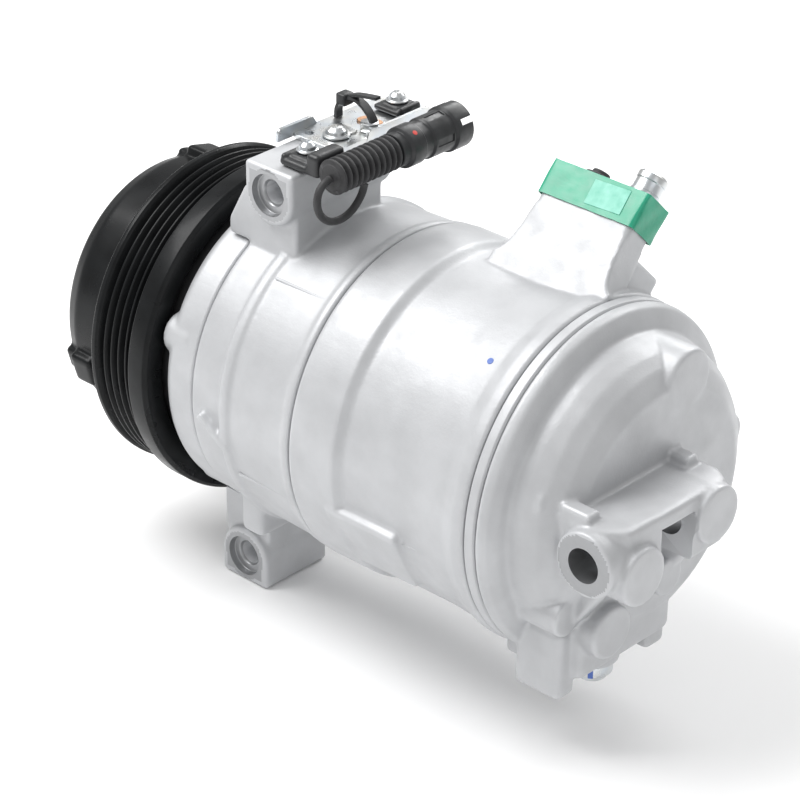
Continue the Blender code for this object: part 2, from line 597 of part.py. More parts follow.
def make_front_body():
    outer = BODY_RADIUS
    band = BODY_RADIUS + BAND_HEIGHT
    low = BODY_RADIUS - 1.5 * MM
    bead = SEAM_FRONT + 15.0 * MM
    body = turned("front_body",
                  [(SEAM_FRONT, low - 0.8 * MM), (SEAM_FRONT + 1.0 * MM, low),
                   (bead, low), (bead + 1.5 * MM, band - 0.6 * MM),
                   (bead + 4.0 * MM, band - 0.6 * MM), (bead + 5.5 * MM, outer),
                   (SEAM_MIDDLE - 3.0 * MM, outer + 0.6 * MM), (SEAM_MIDDLE - 1.0 * MM, band),
                   (SEAM_MIDDLE - GAP, band - 0.8 * MM), (SEAM_MIDDLE - GAP, 0.0),
                   (SEAM_FRONT, 0.0)], FRAME, CAST)
    top_flat = LUG_TOP - LUG_BORE_HEIGHT
    upper = make_lug("upper_lug", UPPER_LUG_STATION, LUG_BORE_HEIGHT, UPPER_LUG_LENGTH,
                     top_flat, True)
    lower = make_lug("lower_lug", LOWER_LUG_STATION, -LUG_BORE_HEIGHT, LOWER_LUG_LENGTH,
                     top_flat, False)
    head_room = turned("front_head_room",
                       rod_outline(-LOWER_LUG_STATION, SEAM_FRONT + 0.5 * MM,
                                   FRONT_HEAD_RADIUS + BOSS_BULGE + GAP),
                       FRAME, None, FINE, cutter=True)
    upper_web = box("upper_web", (HEAD_START + 5.0 * MM, -26.0 * MM, BODY_BORE - 8.0 * MM),
                    (UPPER_LUG_STATION + 9.0 * MM, 14.0 * MM, LUG_BORE_HEIGHT - 6.0 * MM),
                    FRAME, cutter=True)
    lower_web = box("lower_web", (HEAD_START + 1.0 * MM, -30.0 * MM, -LUG_BORE_HEIGHT + 4.0 * MM),
                    (LOWER_LUG_STATION + 10.0 * MM, -4.0 * MM, -BODY_BORE + 12.0 * MM), FRAME,
                    cutter=True)
    cut(upper_web, head_room)
    cut(lower_web, head_room)
    inner = turned("front_body_bore", rod_outline(SEAM_FRONT - 30.0 * MM, SEAM_MIDDLE + 5.0 * MM,
                                                  BODY_BORE),
                   FRAME, None, FINE, cutter=True)
    fuse(body, upper, lower, upper_web, lower_web)
    cut(body, inner)
    for name, station, height, length in (
            ("upper", UPPER_LUG_STATION, LUG_BORE_HEIGHT, UPPER_LUG_LENGTH),
            ("lower", LOWER_LUG_STATION, -LUG_BORE_HEIGHT, LOWER_LUG_LENGTH)):
        start = along_y(station, -LUG_NEAR_FACE - 2.0 * MM, height)
        bore = turned(name + "_lug_bore", rod_outline(0.0, length + 4.0 * MM, LUG_BORE_RADIUS),
                      FRAME, None, COARSE, start, cutter=True)
        sink = turned(name + "_lug_counterbore",
                      rod_outline(0.0, 4.5 * MM, LUG_COUNTERBORE_RADIUS), FRAME, None, COARSE,
                      start, cutter=True)
        cut(body, bore, sink)
    for name, station, y, depth in (
            ("left_clip", LEFT_CLIP_STATION, LEFT_CLIP_Y, SCREW_SHANK - CLIP_HEIGHT + 2.0 * MM),
            ("bracket", BRACKET_SCREW_STATION, BRACKET_SCREW_Y, BRACKET_THREAD + 0.8 * MM)):
        cut(body, turned(name + "_thread", rod_outline(0.0, depth + 5.0 * MM, SCREW_HOLE_RADIUS),
                         FRAME, None, 12, Matrix.Translation((station, y, LUG_TOP - depth)),
                         cutter=True))
    return body


def port_place(station, across, along):
    """A frame at the port block whose local Z runs along its lean and X along the shaft."""
    turn = Matrix((Vector((1.0, 0.0, 0.0)), -PORT_ACROSS, PORT_ALONG)).transposed().to_4x4()
    spot = Vector((station, 0.0, 0.0)) + across * PORT_ACROSS + along * PORT_ALONG
    return Matrix.Translation(spot) @ turn


def make_rear_body():
    outer = BODY_RADIUS
    band = BODY_RADIUS + BAND_HEIGHT
    flange = BODY_RADIUS + 2.2 * MM
    bead = SEAM_MIDDLE + 22.0 * MM
    body = turned("rear_body",
                  [(SEAM_MIDDLE, 0.0), (SEAM_MIDDLE, band - 0.8 * MM),
                   (SEAM_MIDDLE + 1.0 * MM, band + 0.4 * MM), (bead - 1.5 * MM, band + 0.4 * MM),
                   (bead, band - 0.4 * MM), (bead + 2.0 * MM, outer - 0.8 * MM),
                   (SEAM_REAR - 16.0 * MM, outer - 0.2 * MM),
                   (SEAM_REAR - 8.0 * MM, outer + 0.8 * MM),
                   (SEAM_REAR - 4.0 * MM, flange), (SEAM_REAR - 0.6 * MM, flange),
                   (SEAM_REAR - 0.2 * MM, flange - 0.6 * MM),
                   (SEAM_REAR - 0.2 * MM, 0.0)], FRAME, CAST)
    half_width = PORT_WIDTH / 2.0
    half_thick = PORT_THICKNESS / 2.0
    root = 30.0 * MM
    block = box("port_block", (-half_width, -half_thick, root), (half_width, half_thick, PORT_REACH),
                FRAME, bevel=1.2 * MM, matrix=port_place(PORT_STATION, -PORT_OFFSET, 0.0), cutter=True)
    stub = box("port_stub", (-9.0 * MM, -8.5 * MM, root), (9.0 * MM, 8.5 * MM, 67.0 * MM), FRAME,
               bevel=1.2 * MM, matrix=port_place(PORT_STATION + 10.5 * MM, -PORT_OFFSET + 15.0 * MM,
                                                 0.0), cutter=True)
    pad = box("sump_pad", (-16.0 * MM, -11.0 * MM, -8.0 * MM), (16.0 * MM, 20.0 * MM, 1.2 * MM),
              FRAME, bevel=1.0 * MM,
              matrix=Matrix.Translation((SEAM_MIDDLE + 32.0 * MM, 0.0, 0.0))
              @ Matrix.Rotation(math.radians(118.0), 4, "X")
              @ Matrix.Translation((0.0, 0.0, BODY_RADIUS)), cutter=True)
    tab = box("rear_tab", (SEAM_REAR - 12.0 * MM, -25.0 * MM, -BODY_RADIUS - 5.0 * MM),
              (SEAM_REAR - 1.0 * MM, -17.0 * MM, -BODY_RADIUS + 8.0 * MM), FRAME, bevel=1.0 * MM,
              cutter=True)
    inner = turned("rear_body_bore", rod_outline(SEAM_MIDDLE - 5.0 * MM, SEAM_REAR + 5.0 * MM,
                                                 BODY_BORE), FRAME, None, FINE, cutter=True)
    fuse(body, block, stub, pad, tab)
    cut(body, inner)
    port_start = PORT_REACH - 32.0 * MM
    for name, offset, radius in (("suction", -6.0 * MM, 5.0 * MM),
                                 ("stud", PORT_WIDTH / 2.0 - 6.5 * MM, 3.3 * MM)):
        cut(body, turned(name + "_hole", rod_outline(0.0, 40.0 * MM, radius), FRAME, None, COARSE,
                         port_place(PORT_STATION + offset, -PORT_OFFSET, port_start), cutter=True))
    return body


def make_rear_head():
    flange = BODY_RADIUS + 2.0 * MM
    face = REAR_HEAD_FACE_RADIUS
    shoulder = BODY_RADIUS - 6.0 * MM
    chamber = BOLT_CIRCLE - 5.5 * MM
    start = REAR_HEAD_START + GAP
    head = turned("rear_head",
                  [(REAR_FACE, 0.0), (REAR_FACE, face - 2.0 * MM),
                   (REAR_FACE - 1.0 * MM, face), (REAR_FACE - 4.0 * MM, shoulder - 6.5 * MM),
                   (REAR_FACE - 8.5 * MM, shoulder - 3.0 * MM), (REAR_FACE - 14.0 * MM, shoulder - 0.8 * MM),
                   (start + 7.0 * MM, shoulder), (start + 6.0 * MM, flange - 3.5 * MM),
                   (start + 4.0 * MM, flange - 0.8 * MM), (start + 1.0 * MM, flange),
                   (start, flange - 0.8 * MM), (start, 0.0)], FRAME, CAST)
    for k, (degrees, inset, radius, reach) in enumerate(REAR_BOSSES):
        boss = axial_tool("rear_boss_%d" % (k + 1), start + 3.0 * MM, REAR_FACE + reach, radius,
                          shoulder - inset, math.radians(degrees), FRAME, MEDIUM)
        fuse(head, boss)
    add_bracket(head)
    add_feet(head)
    pocket = turned("rear_chamber", rod_outline(start - 5.0 * MM, REAR_FACE - 8.0 * MM, chamber),
                    FRAME, None, FINE, cutter=True)
    cut(head, pocket)
    cut(head, *bolt_holes("rear_head", start - 5.0 * MM, start + BOLT_REACH + 1.5 * MM))
    weld(head)


def add_bracket(head):
    near = -BRACKET_NEAR_FACE
    far = near + BRACKET_WIDTH
    bottom = BRACKET_TOP - BRACKET_HEIGHT
    rear = BRACKET_STATION + BRACKET_DEPTH / 2.0
    beam = box("bracket_beam", (REAR_FACE - 6.0 * MM, near + 5.0 * MM, bottom),
               (rear, far, BRACKET_TOP), FRAME, bevel=2.0 * MM, cutter=True)
    collar = turned("bracket_collar", rod_outline(0.0, 20.0 * MM, BRACKET_COLLAR_RADIUS), FRAME, None,
                    MEDIUM, along_y(BRACKET_STATION, near, BRACKET_BORE_HEIGHT), cutter=True)
    fuse(head, beam, collar)
    for name, y, z in (("near_pad", near + 15.0 * MM, -2.0 * MM), ("far_pad", far - 10.5 * MM, 5.0 * MM)):
        fuse(head, turned(name, rod_outline(0.0, 14.0 * MM, PAD_RADIUS), FRAME, None, MEDIUM,
                          along_x(rear - 11.4 * MM, y, z), cutter=True))
    for name, y in (("near_rib", near + 4.5 * MM), ("far_rib", far - 8.2 * MM)):
        fuse(head, box(name, (REAR_FACE - 3.0 * MM, y, 0.0),
                       (BRACKET_STATION - 2.0 * MM, y + 6.0 * MM, BRACKET_TOP + 3.0 * MM), FRAME,
                       bevel=1.0 * MM, cutter=True))
    bore = turned("bracket_bore", rod_outline(0.0, BRACKET_WIDTH + 8.0 * MM, BRACKET_BORE_RADIUS),
                  FRAME, None, MEDIUM, along_y(BRACKET_STATION, near - 4.0 * MM, BRACKET_BORE_HEIGHT),
                  cutter=True)
    window = box("bracket_window", (BRACKET_STATION - 2.5 * MM, near + 25.0 * MM, bottom - 5.0 * MM),
                 (rear + 5.0 * MM, far - 20.0 * MM, BRACKET_TOP - 5.0 * MM), FRAME, cutter=True)
    cut(head, bore, window)


def add_feet(head):
    start = REAR_HEAD_START + 3.0 * MM
    near_foot = box("near_foot", (start - 1.5 * MM, -42.0 * MM, -60.0 * MM),
                    (start + 18.0 * MM, -33.0 * MM, -34.0 * MM), FRAME, bevel=2.0 * MM, cutter=True)
    far_foot = box("far_foot", (start + 9.0 * MM, 3.0 * MM, -61.0 * MM),
                   (start + 18.5 * MM, 13.0 * MM, -40.0 * MM), FRAME, bevel=2.0 * MM, cutter=True)
    skirt = box("foot_skirt", (start + 2.0 * MM, -36.0 * MM, -54.0 * MM),
                (REAR_FACE - 1.0 * MM, 14.0 * MM, -30.0 * MM), FRAME, bevel=3.0 * MM, cutter=True)
    valve_boss = turned("valve_boss", rod_outline(0.0, 12.0 * MM, 9.0 * MM), FRAME, None, COARSE,
                        Matrix.Translation((start + 8.5 * MM, -13.0 * MM, -59.4 * MM)), cutter=True)
    fuse(head, near_foot, far_foot, skirt, valve_boss)
    cut(head, turned("valve_hole", rod_outline(0.0, 14.0 * MM, 5.3 * MM), FRAME, None, COARSE,
                     Matrix.Translation((start + 8.5 * MM, -13.0 * MM, -64.0 * MM)), cutter=True))


def make_relief_valve():
    start = REAR_HEAD_START + 3.0 * MM
    turned("relief_valve",
           [(0.0, 0.0), (0.0, 4.2 * MM), (1.0 * MM, 5.0 * MM), (3.0 * MM, 5.0 * MM),
            (3.0 * MM, 6.8 * MM), (7.7 * MM, 6.8 * MM), (7.7 * MM, 4.9 * MM), (16.0 * MM, 4.9 * MM),
            (16.0 * MM, 0.0)], FRAME, ZINC, COARSE,
           Matrix.Translation((start + 8.5 * MM, -13.0 * MM, -67.4 * MM)))


# ---------------------------------------------------------------- fixed pieces inside
def make_plates_and_blocks():
    front = turned("front_valve_plate",
                   ring_outline(SEAM_FRONT + GAP, SEAM_FRONT + GAP + FRONT_PLATE_THICKNESS,
                                SHAFT_RADIUS + 4.0 * MM, BLOCK_RADIUS), FRAME, STEEL, INNER)
    cut(front, *bolt_holes("front_plate", SEAM_FRONT - 3.0 * MM, SEAM_FRONT + 9.0 * MM))
    rear = turned("rear_valve_plate",
                  [(SEAM_REAR + 0.1 * MM, 0.0), (SEAM_REAR + 0.1 * MM, BODY_RADIUS + 1.0 * MM),
                   (SEAM_REAR + 0.7 * MM, BODY_RADIUS + 1.8 * MM),
                   (REAR_HEAD_START - 0.6 * MM, BODY_RADIUS + 1.8 * MM),
                   (REAR_HEAD_START, BODY_RADIUS + 1.0 * MM), (REAR_HEAD_START, 0.0)],
                  FRAME, STEEL, FINE)
    cut(rear, *bolt_holes("rear_plate", SEAM_REAR - 3.0 * MM, REAR_HEAD_START + 3.0 * MM))
    for name, start, end, cavity_start, cavity_end in (
            ("front_cylinder_block", BLOCK_START, SWASH_STATION - GAP / 2.0,
             SWASH_STATION - CAVITY_HALF_LENGTH, SWASH_STATION + 5.0 * MM),
            ("rear_cylinder_block", SWASH_STATION + GAP / 2.0, BLOCK_END,
             SWASH_STATION - 5.0 * MM, SWASH_STATION + CAVITY_HALF_LENGTH)):
        block = turned(name, ring_outline(start, end, NEEDLE_OUTER + GAP, BLOCK_RADIUS), FRAME,
                       CAST, INNER)
        cavity = turned(name + "_cavity",
                        rod_outline(cavity_start, cavity_end, SWASH_RADIUS + 1.4 * MM), FRAME, None,
                        INNER, cutter=True)
        cut(block, cavity)
        for k, angle in enumerate(piston_angles()):
            cut(block, axial_tool("%s_bore_%d" % (name, k + 1), start - 3.0 * MM, end + 3.0 * MM,
                                  BORE_RADIUS, PISTON_CIRCLE, angle, FRAME, MEDIUM))
        cut(block, *bolt_holes(name, start - 3.0 * MM, end + 3.0 * MM))


def make_shaft_supports():
    thrust_thickness = CAVITY_HALF_LENGTH - HUB_HALF_LENGTH - 2.0 * GAP
    front_cavity = SWASH_STATION - CAVITY_HALF_LENGTH
    rear_cavity = SWASH_STATION + CAVITY_HALF_LENGTH
    inner = SHAFT_RADIUS + GAP
    turned("front_shaft_bearing",
           ring_outline(BLOCK_START + 2.0 * MM, BLOCK_START + 22.0 * MM, inner, NEEDLE_OUTER),
           FRAME, STEEL, MEDIUM)
    turned("rear_shaft_bearing",
           ring_outline(BLOCK_END - 30.0 * MM, BLOCK_END - 10.0 * MM, inner, NEEDLE_OUTER),
           FRAME, STEEL, MEDIUM)
    turned("front_thrust_bearing",
           ring_outline(front_cavity + GAP, front_cavity + GAP + thrust_thickness, inner, 15.5 * MM),
           FRAME, STEEL, MEDIUM)
    turned("rear_thrust_bearing",
           ring_outline(rear_cavity - GAP - thrust_thickness, rear_cavity - GAP, inner, 15.5 * MM),
           FRAME, STEEL, MEDIUM)
    turned("shaft_seal",
           [(-3.0 * MM + GAP, inner), (-3.0 * MM + GAP, SHAFT_RADIUS + 7.0 * MM - GAP),
            (9.0 * MM, SHAFT_RADIUS + 7.0 * MM - GAP), (9.0 * MM, SHAFT_RADIUS + 5.0 * MM),
            (2.0 * MM, SHAFT_RADIUS + 2.0 * MM), (2.0 * MM, inner)], FRAME, RUBBER, MEDIUM)


def make_through_bolts():
    head_front = BOLT_SEAT - GAP - BOLT_HEAD_LENGTH
    end = REAR_HEAD_START + BOLT_REACH
    for k, angle in enumerate(bolt_angles()):
        y, z = on_circle(BOLT_CIRCLE, angle)
        length = end - head_front
        turned("through_bolt_%d" % (k + 1),
               [(0.0, 0.0), (0.0, BOLT_HEAD_RADIUS - 0.6 * MM), (0.6 * MM, BOLT_HEAD_RADIUS),
                (BOLT_HEAD_LENGTH, BOLT_HEAD_RADIUS), (BOLT_HEAD_LENGTH, BOLT_RADIUS),
                (length, BOLT_RADIUS), (length, 0.0)], FRAME, STEEL, BOLT_SIDES,
               along_x(head_front, y, z))


# ---------------------------------------------------------------- shaft, swash plate and pistons
def make_shaft(shaft_axis):
    thread_front = HUB_FACE - NUT_LENGTH - 1.6 * MM
    nose_front = HUB_FACE + 0.6 * MM
    step = PULLEY_FRONT + 1.6 * MM
    rear = BLOCK_END - 8.0 * MM
    turned("shaft",
           [(thread_front, 0.0), (thread_front, 4.2 * MM), (thread_front + 0.8 * MM, THREAD_RADIUS),
            (nose_front, THREAD_RADIUS), (nose_front, NOSE_RADIUS), (step, NOSE_RADIUS),
            (step, SHAFT_RADIUS), (rear - 1.0 * MM, SHAFT_RADIUS), (rear, SHAFT_RADIUS - 1.0 * MM),
            (rear, 0.0)], shaft_axis, STEEL, MEDIUM)
    hub = turned("swash_hub",
                 ring_outline(SWASH_STATION - HUB_HALF_LENGTH, SWASH_STATION + HUB_HALF_LENGTH,
                              SHAFT_RADIUS + GAP, 15.5 * MM), shaft_axis, STEEL, MEDIUM)
    seat = turned("swash_seat", ring_outline(-SWASH_HALF_THICKNESS + 0.4 * MM,
                                             SWASH_HALF_THICKNESS - 0.4 * MM, 13.0 * MM,
                                             SWASH_BORE_RADIUS - GAP),
                  shaft_axis, None, INNER, tilted_place(Vector((SWASH_STATION, 0.0, 0.0))), cutter=True)
    fuse(hub, seat)
    bore = turned("swash_hub_bore", rod_outline(SWASH_STATION - 20.0 * MM, SWASH_STATION + 20.0 * MM,
                                                SHAFT_RADIUS + GAP), shaft_axis, None, MEDIUM,
                  cutter=True)
    cut(hub, bore)


def tilted_place(spot):
    """A frame at spot whose local Z is the swash plate's normal."""
    turn = Matrix((TILT_ALONG, Vector((0.0, 0.0, 1.0)), TILT_NORMAL)).transposed().to_4x4()
    return Matrix.Translation(spot) @ turn


def ball_centre(angle):
    """Where a piston's two shoes have their common ball centre, with the shaft at rest."""
    y, z = on_circle(PISTON_CIRCLE, angle)
    return Vector((SWASH_STATION + HALF_STROKE * math.cos(angle), y, z))


def make_swash_ring(shaft_axis):
    centre = Vector((SWASH_STATION, 0.0, 0.0))
    axis = add_axis("swash_axis", shaft_axis, tilted_place(centre))
    turned("swash_ring",
           ring_outline(-SWASH_HALF_THICKNESS, SWASH_HALF_THICKNESS, SWASH_BORE_RADIUS,
                        SWASH_RADIUS), axis, BRONZE, INNER, Matrix())
    return axis


def shoe_outline(side):
    """A shoe: flat on the plate, a short rim and a dome of the ball's radius. side is -1 or +1."""
    flat = SWASH_HALF_THICKNESS + GAP
    rim_top = math.sqrt(BALL_RADIUS ** 2 - SHOE_RIM_RADIUS ** 2)
    points = [(flat, 0.0), (flat, SHOE_RIM_RADIUS), (rim_top, SHOE_RIM_RADIUS)]
    crown = SHOE_RIM_RADIUS * 0.5
    points.append((math.sqrt(BALL_RADIUS ** 2 - crown ** 2), crown))
    points.append((BALL_RADIUS, 0.0))
    return [(side * station, radius) for station, radius in points]


def make_pistons(swash_axis):
    """Each piston is carried by its rear shoe, that by the front shoe, and that by the swash ring."""
    slot_radius = (SWASH_RADIUS + RUNNING_GAP) / math.cos(math.pi / INNER)
    untilt = tilted_place(Vector((0.0, 0.0, 0.0))).inverted()
    for k, angle in enumerate(piston_angles()):
        centre = ball_centre(angle)
        number = k + 1
        across, along = on_circle(SHOE_AXIS_CIRCLE, angle)
        axis = add_axis("shoe_axis_%d" % number, swash_axis, Matrix.Translation((across, along, 0.0)))
        offset = (PISTON_CIRCLE / math.cos(SWASH_ANGLE) * math.cos(angle) - across,
                  PISTON_CIRCLE * math.sin(angle) - along, 0.0)
        front = turned("front_shoe_%d" % number, shoe_outline(-1.0), axis, BRONZE, COARSE,
                       Matrix.Translation(offset))
        rear = turned("rear_shoe_%d" % number, shoe_outline(1.0), front, BRONZE, COARSE, Matrix())
        piston = turned("piston_%d" % number,
                        [(-PISTON_HALF_LENGTH, 0.0), (-PISTON_HALF_LENGTH, PISTON_RADIUS),
                         (PISTON_HALF_LENGTH, PISTON_RADIUS), (PISTON_HALF_LENGTH, 0.0)],
                        rear, STEEL, MEDIUM, untilt @ TURN_TO_X)
        slot = turned("piston_slot_%d" % number,
                      rod_outline(centre.x - HALF_WINDOW, centre.x + HALF_WINDOW, slot_radius),
                      FRAME, None, INNER, cutter=True)
        ball = sphere_tool("piston_ball_%d" % number, SOCKET_RADIUS, centre)
        cut(piston, slot, ball)


def sphere_tool(name, radius, centre):
    """A faceted ball that holds a true ball of the given radius."""
    sides, rings = 12, 8
    corner = radius / (math.cos(math.pi / sides) * math.cos(math.pi / (2.0 * rings)))
    mesh = bpy.data.meshes.new(name)
    shape = bmesh.new()
    bmesh.ops.create_uvsphere(shape, u_segments=sides, v_segments=rings, radius=corner)
    shape.to_mesh(mesh)
    shape.free()
    return add_object(name, mesh, FRAME, Matrix.Translation(centre) @ TURN_TO_X, None, cutter=True)


# ---------------------------------------------------------------- port pieces
def make_port_pieces():
    half_width = PORT_WIDTH / 2.0
    half_thick = PORT_THICKNESS / 2.0
    place = port_place(PORT_STATION, -PORT_OFFSET, 0.0)
    reach = half_width + GAP + TAPE_THICKNESS
    depth = half_thick + GAP + TAPE_THICKNESS
    tape = box("port_tape", (-reach, -depth, PORT_REACH - TAPE_HEIGHT),
               (reach, depth, PORT_REACH + 0.2 * MM), FRAME, TAPE, bevel=0.6 * TAPE_THICKNESS,
               matrix=place)
    hollow = box("tape_hollow", (-half_width - GAP, -half_thick - GAP, PORT_REACH - TAPE_HEIGHT - 5.0 * MM),
                 (half_width + GAP, half_thick + GAP, PORT_REACH + 5.0 * MM), FRAME, matrix=place,
                 cutter=True)
    cut(tape, hollow)
    turned("port_cap",
           [(-9.0 * MM, 0.0), (-9.0 * MM, 4.6 * MM), (GAP, 4.6 * MM), (GAP, 5.8 * MM),
            (2.6 * MM, 5.8 * MM), (3.2 * MM, 5.0 * MM), (3.2 * MM, 0.0)], FRAME, RUBBER, COARSE,
           port_place(PORT_STATION - 6.0 * MM, -PORT_OFFSET, PORT_REACH))
    turned("port_stud",
           [(-16.0 * MM, 0.0), (-16.0 * MM, 2.9 * MM), (GAP, 2.9 * MM), (GAP, 5.6 * MM),
            (7.4 * MM, 5.6 * MM), (8.6 * MM, 4.6 * MM), (8.6 * MM, 0.0)], FRAME, ZINC, COARSE,
           port_place(PORT_STATION + half_width - 6.5 * MM, -PORT_OFFSET, PORT_REACH))


# ---------------------------------------------------------------- bracket, clips and wiring
def make_sheet_bracket():
    station = BRACKET_SCREW_STATION
    plate = box("sensor_bracket", (station - 13.0 * MM, -10.0 * MM, SHEET_LOW),
                (station + 9.0 * MM, 38.0 * MM, SHEET_HIGH), FRAME, ZINC, bevel=0.4 * MM)
    ear = box("bracket_ear", (station - 13.6 * MM, -17.0 * MM, SHEET_LOW + 0.2 * MM),
              (station - 12.0 * MM, 5.0 * MM, SHEET_LOW + 5.0 * MM), FRAME, bevel=0.4 * MM, cutter=True)
    lip = box("bracket_lip", (station + 7.6 * MM, 2.0 * MM, SHEET_LOW + 0.2 * MM),
              (station + 9.2 * MM, 37.0 * MM, SHEET_LOW + 4.0 * MM), FRAME, bevel=0.4 * MM, cutter=True)
    fuse(plate, ear, lip)
    for name, y in (("bracket_screw_hole", BRACKET_SCREW_Y), ("bracket_clip_hole", RIGHT_CLIP_Y)):
        cut(plate, turned(name, rod_outline(-5.0 * MM, 10.0 * MM, SCREW_HOLE_RADIUS), FRAME, None, 12,
                          Matrix.Translation((station, y, SHEET_LOW)), cutter=True))


def dome_screw(name, x, y, seat, radius, shank):
    turned(name,
           [(-shank, 0.0), (-shank, 1.9 * MM), (GAP, 1.9 * MM), (GAP, radius),
            (0.8 * MM + GAP, radius), (2.0 * MM + GAP, radius * 0.86),
            (3.0 * MM + GAP, radius * 0.55), (3.4 * MM + GAP, 0.0)], FRAME, ZINC, COARSE,
           Matrix.Translation((x, y, seat)))


def make_clip(name, low, high, station, y):
    """A plastic block with a screw hole, and the dome screw that holds it."""
    clip = box(name, low, high, FRAME, PLASTIC, bevel=1.2 * MM)
    cut(clip, turned(name + "_hole", rod_outline(-9.0 * MM, 12.0 * MM, SCREW_HOLE_RADIUS), FRAME, None,
                     12, Matrix.Translation((station, y, low[2])), cutter=True))
    dome_screw(name + "_screw", station, y, high[2], 3.9 * MM, SCREW_SHANK)


def make_clips():
    boot_side = CONNECTOR_STATION - BOOT_RADIUS - GAP
    make_clip("left_clip", (LEFT_CLIP_STATION - 6.0 * MM, LEFT_CLIP_Y - 8.0 * MM, SHEET_LOW),
              (boot_side, LEFT_CLIP_Y + 6.0 * MM, SHEET_LOW + CLIP_HEIGHT), LEFT_CLIP_STATION,
              LEFT_CLIP_Y)
    dome_screw("bracket_screw", BRACKET_SCREW_STATION, BRACKET_SCREW_Y, SHEET_HIGH, 4.8 * MM,
               SHEET_HIGH - LUG_TOP + BRACKET_THREAD)
    right_low = SHEET_HIGH + GAP
    make_clip("right_clip", (BRACKET_SCREW_STATION - 6.0 * MM, RIGHT_CLIP_Y - 6.0 * MM, right_low),
              (BRACKET_SCREW_STATION + 6.0 * MM, RIGHT_CLIP_Y + 6.0 * MM, right_low + RIGHT_CLIP_HEIGHT),
              BRACKET_SCREW_STATION, RIGHT_CLIP_Y)


def boot_outline(start, end, ridge, root, count):
    """A corrugated boot from start to end, with count ridges."""
    pitch = (end - start) / count
    points = [(start, 0.0), (start, root)]
    for k in range(count):
        left = start + k * pitch
        points += [(left + 0.25 * pitch, ridge), (left + 0.6 * pitch, ridge),
                   (left + 0.85 * pitch, root)]
    points += [(end, root), (end, 0.0)]
    return points


def make_connector():
    place = along_y(CONNECTOR_STATION, 0.0, CONNECTOR_HEIGHT)
    turned("corrugated_boot", boot_outline(BOOT_START, BOOT_END, BOOT_RADIUS, BOOT_RADIUS - 1.4 * MM,
                                           BOOT_RIDGES), FRAME, RUBBER, COARSE, place)
    radius = CONNECTOR_RADIUS
    mouth = CONNECTOR_MOUTH
    collar = mouth - 8.4 * MM
    floor = mouth - 14.0 * MM
    body = turned("connector_body",
                  [(BOOT_END + GAP, 0.0), (BOOT_END + GAP, radius - 1.2 * MM),
                   (3.0 * MM, radius - 1.2 * MM), (3.6 * MM, radius), (collar - 0.6 * MM, radius),
                   (collar, radius + 0.9 * MM), (mouth - 0.8 * MM, radius + 0.9 * MM),
                   (mouth, radius + 0.2 * MM), (mouth, radius - 1.6 * MM),
                   (floor, radius - 1.6 * MM), (floor, 0.0)],
                  FRAME, PLASTIC, MEDIUM, place)
    slot = box("connector_slot", (-12.0 * MM, -1.1 * MM, mouth - 6.0 * MM),
               (-4.0 * MM, 1.1 * MM, mouth + 3.0 * MM), FRAME,
               matrix=place @ Matrix.Rotation(math.radians(-35.0), 4, "Z"), cutter=True)
    cut(body, slot)


# The lead leaves the boot's near end, hangs in a short loop and goes back into its underside.
LEAD_POINTS = ((59.5, -30.4, 87.8), (59.5, -33.2, 87.0), (59.4, -35.4, 84.8), (59.3, -36.2, 81.6),
               (59.2, -35.6, 78.0), (59.1, -33.6, 74.8), (59.0, -30.6, 72.4), (58.9, -27.0, 71.2),
               (58.9, -23.2, 71.2), (58.9, -19.6, 72.4), (59.0, -16.8, 74.6), (59.2, -14.8, 77.4),
               (59.4, -13.8, 80.6))


def smooth_route(points, per_span):
    """Catmull-Rom points through the route."""
    route = [Vector(p) * MM for p in points]
    padded = [2.0 * route[0] - route[1]] + route + [2.0 * route[-1] - route[-2]]
    result = []
    for k in range(1, len(padded) - 2):
        a, b, c, d = padded[k - 1:k + 3]
        for step in range(per_span):
            t = step / per_span
            result.append(0.5 * (2.0 * b + (c - a) * t + (2.0 * a - 5.0 * b + 4.0 * c - d) * t ** 2
                                 + (3.0 * b - a - 3.0 * c + d) * t ** 3))
    result.append(route[-1])
    return result


def tube(name, points, radius, parent, material):
    curve = bpy.data.curves.new(name, "CURVE")
    curve.dimensions = "3D"
    curve.bevel_depth = radius
    curve.bevel_resolution = 2
    curve.use_fill_caps = True
    spline = curve.splines.new("POLY")
    spline.points.add(len(points) - 1)
    for point, spot in zip(spline.points, points):
        point.co = (*spot, 1.0)
    item = bpy.data.objects.new(name, curve)
    PARTS.objects.link(item)
    item.parent = parent
    curve.materials.append(material)
    return item


def make_wiring():
    tube("lead_loop", smooth_route(LEAD_POINTS, 2), LEAD_RADIUS, FRAME, RUBBER)
    base = SHEET_HIGH + GAP + 0.2 * MM
    side = TIE_SPAN / 2.0
    arch = [(TIE_Y - side, base)]
    arch += arc((TIE_Y, base + 5.0 * MM), side, 180.0, 0.0, 10)
    arch.append((TIE_Y + side, base))
    tube("cable_tie", [Vector((TIE_STATION, y, z)) for y, z in arch], 1.1 * MM, FRAME, PLASTIC)


def stand_on_bench():
    """Move the frame so that the box of all pieces but the lead is centred and stands on Z = 0."""
    bpy.context.view_layer.update()
    graph = bpy.context.evaluated_depsgraph_get()
    low = Vector((1.0, 1.0, 1.0))
    high = -low
    for item in PARTS.objects:
        if item.type == "EMPTY" or item.name == "lead_loop":
            continue
        mesh = item.evaluated_get(graph).to_mesh()
        for vertex in mesh.vertices:
            spot = item.matrix_world @ vertex.co
            low = Vector(map(min, low, spot))
            high = Vector(map(max, high, spot))
    FRAME.location = (-(low.x + high.x) / 2.0, -(low.y + high.y) / 2.0, -low.z)


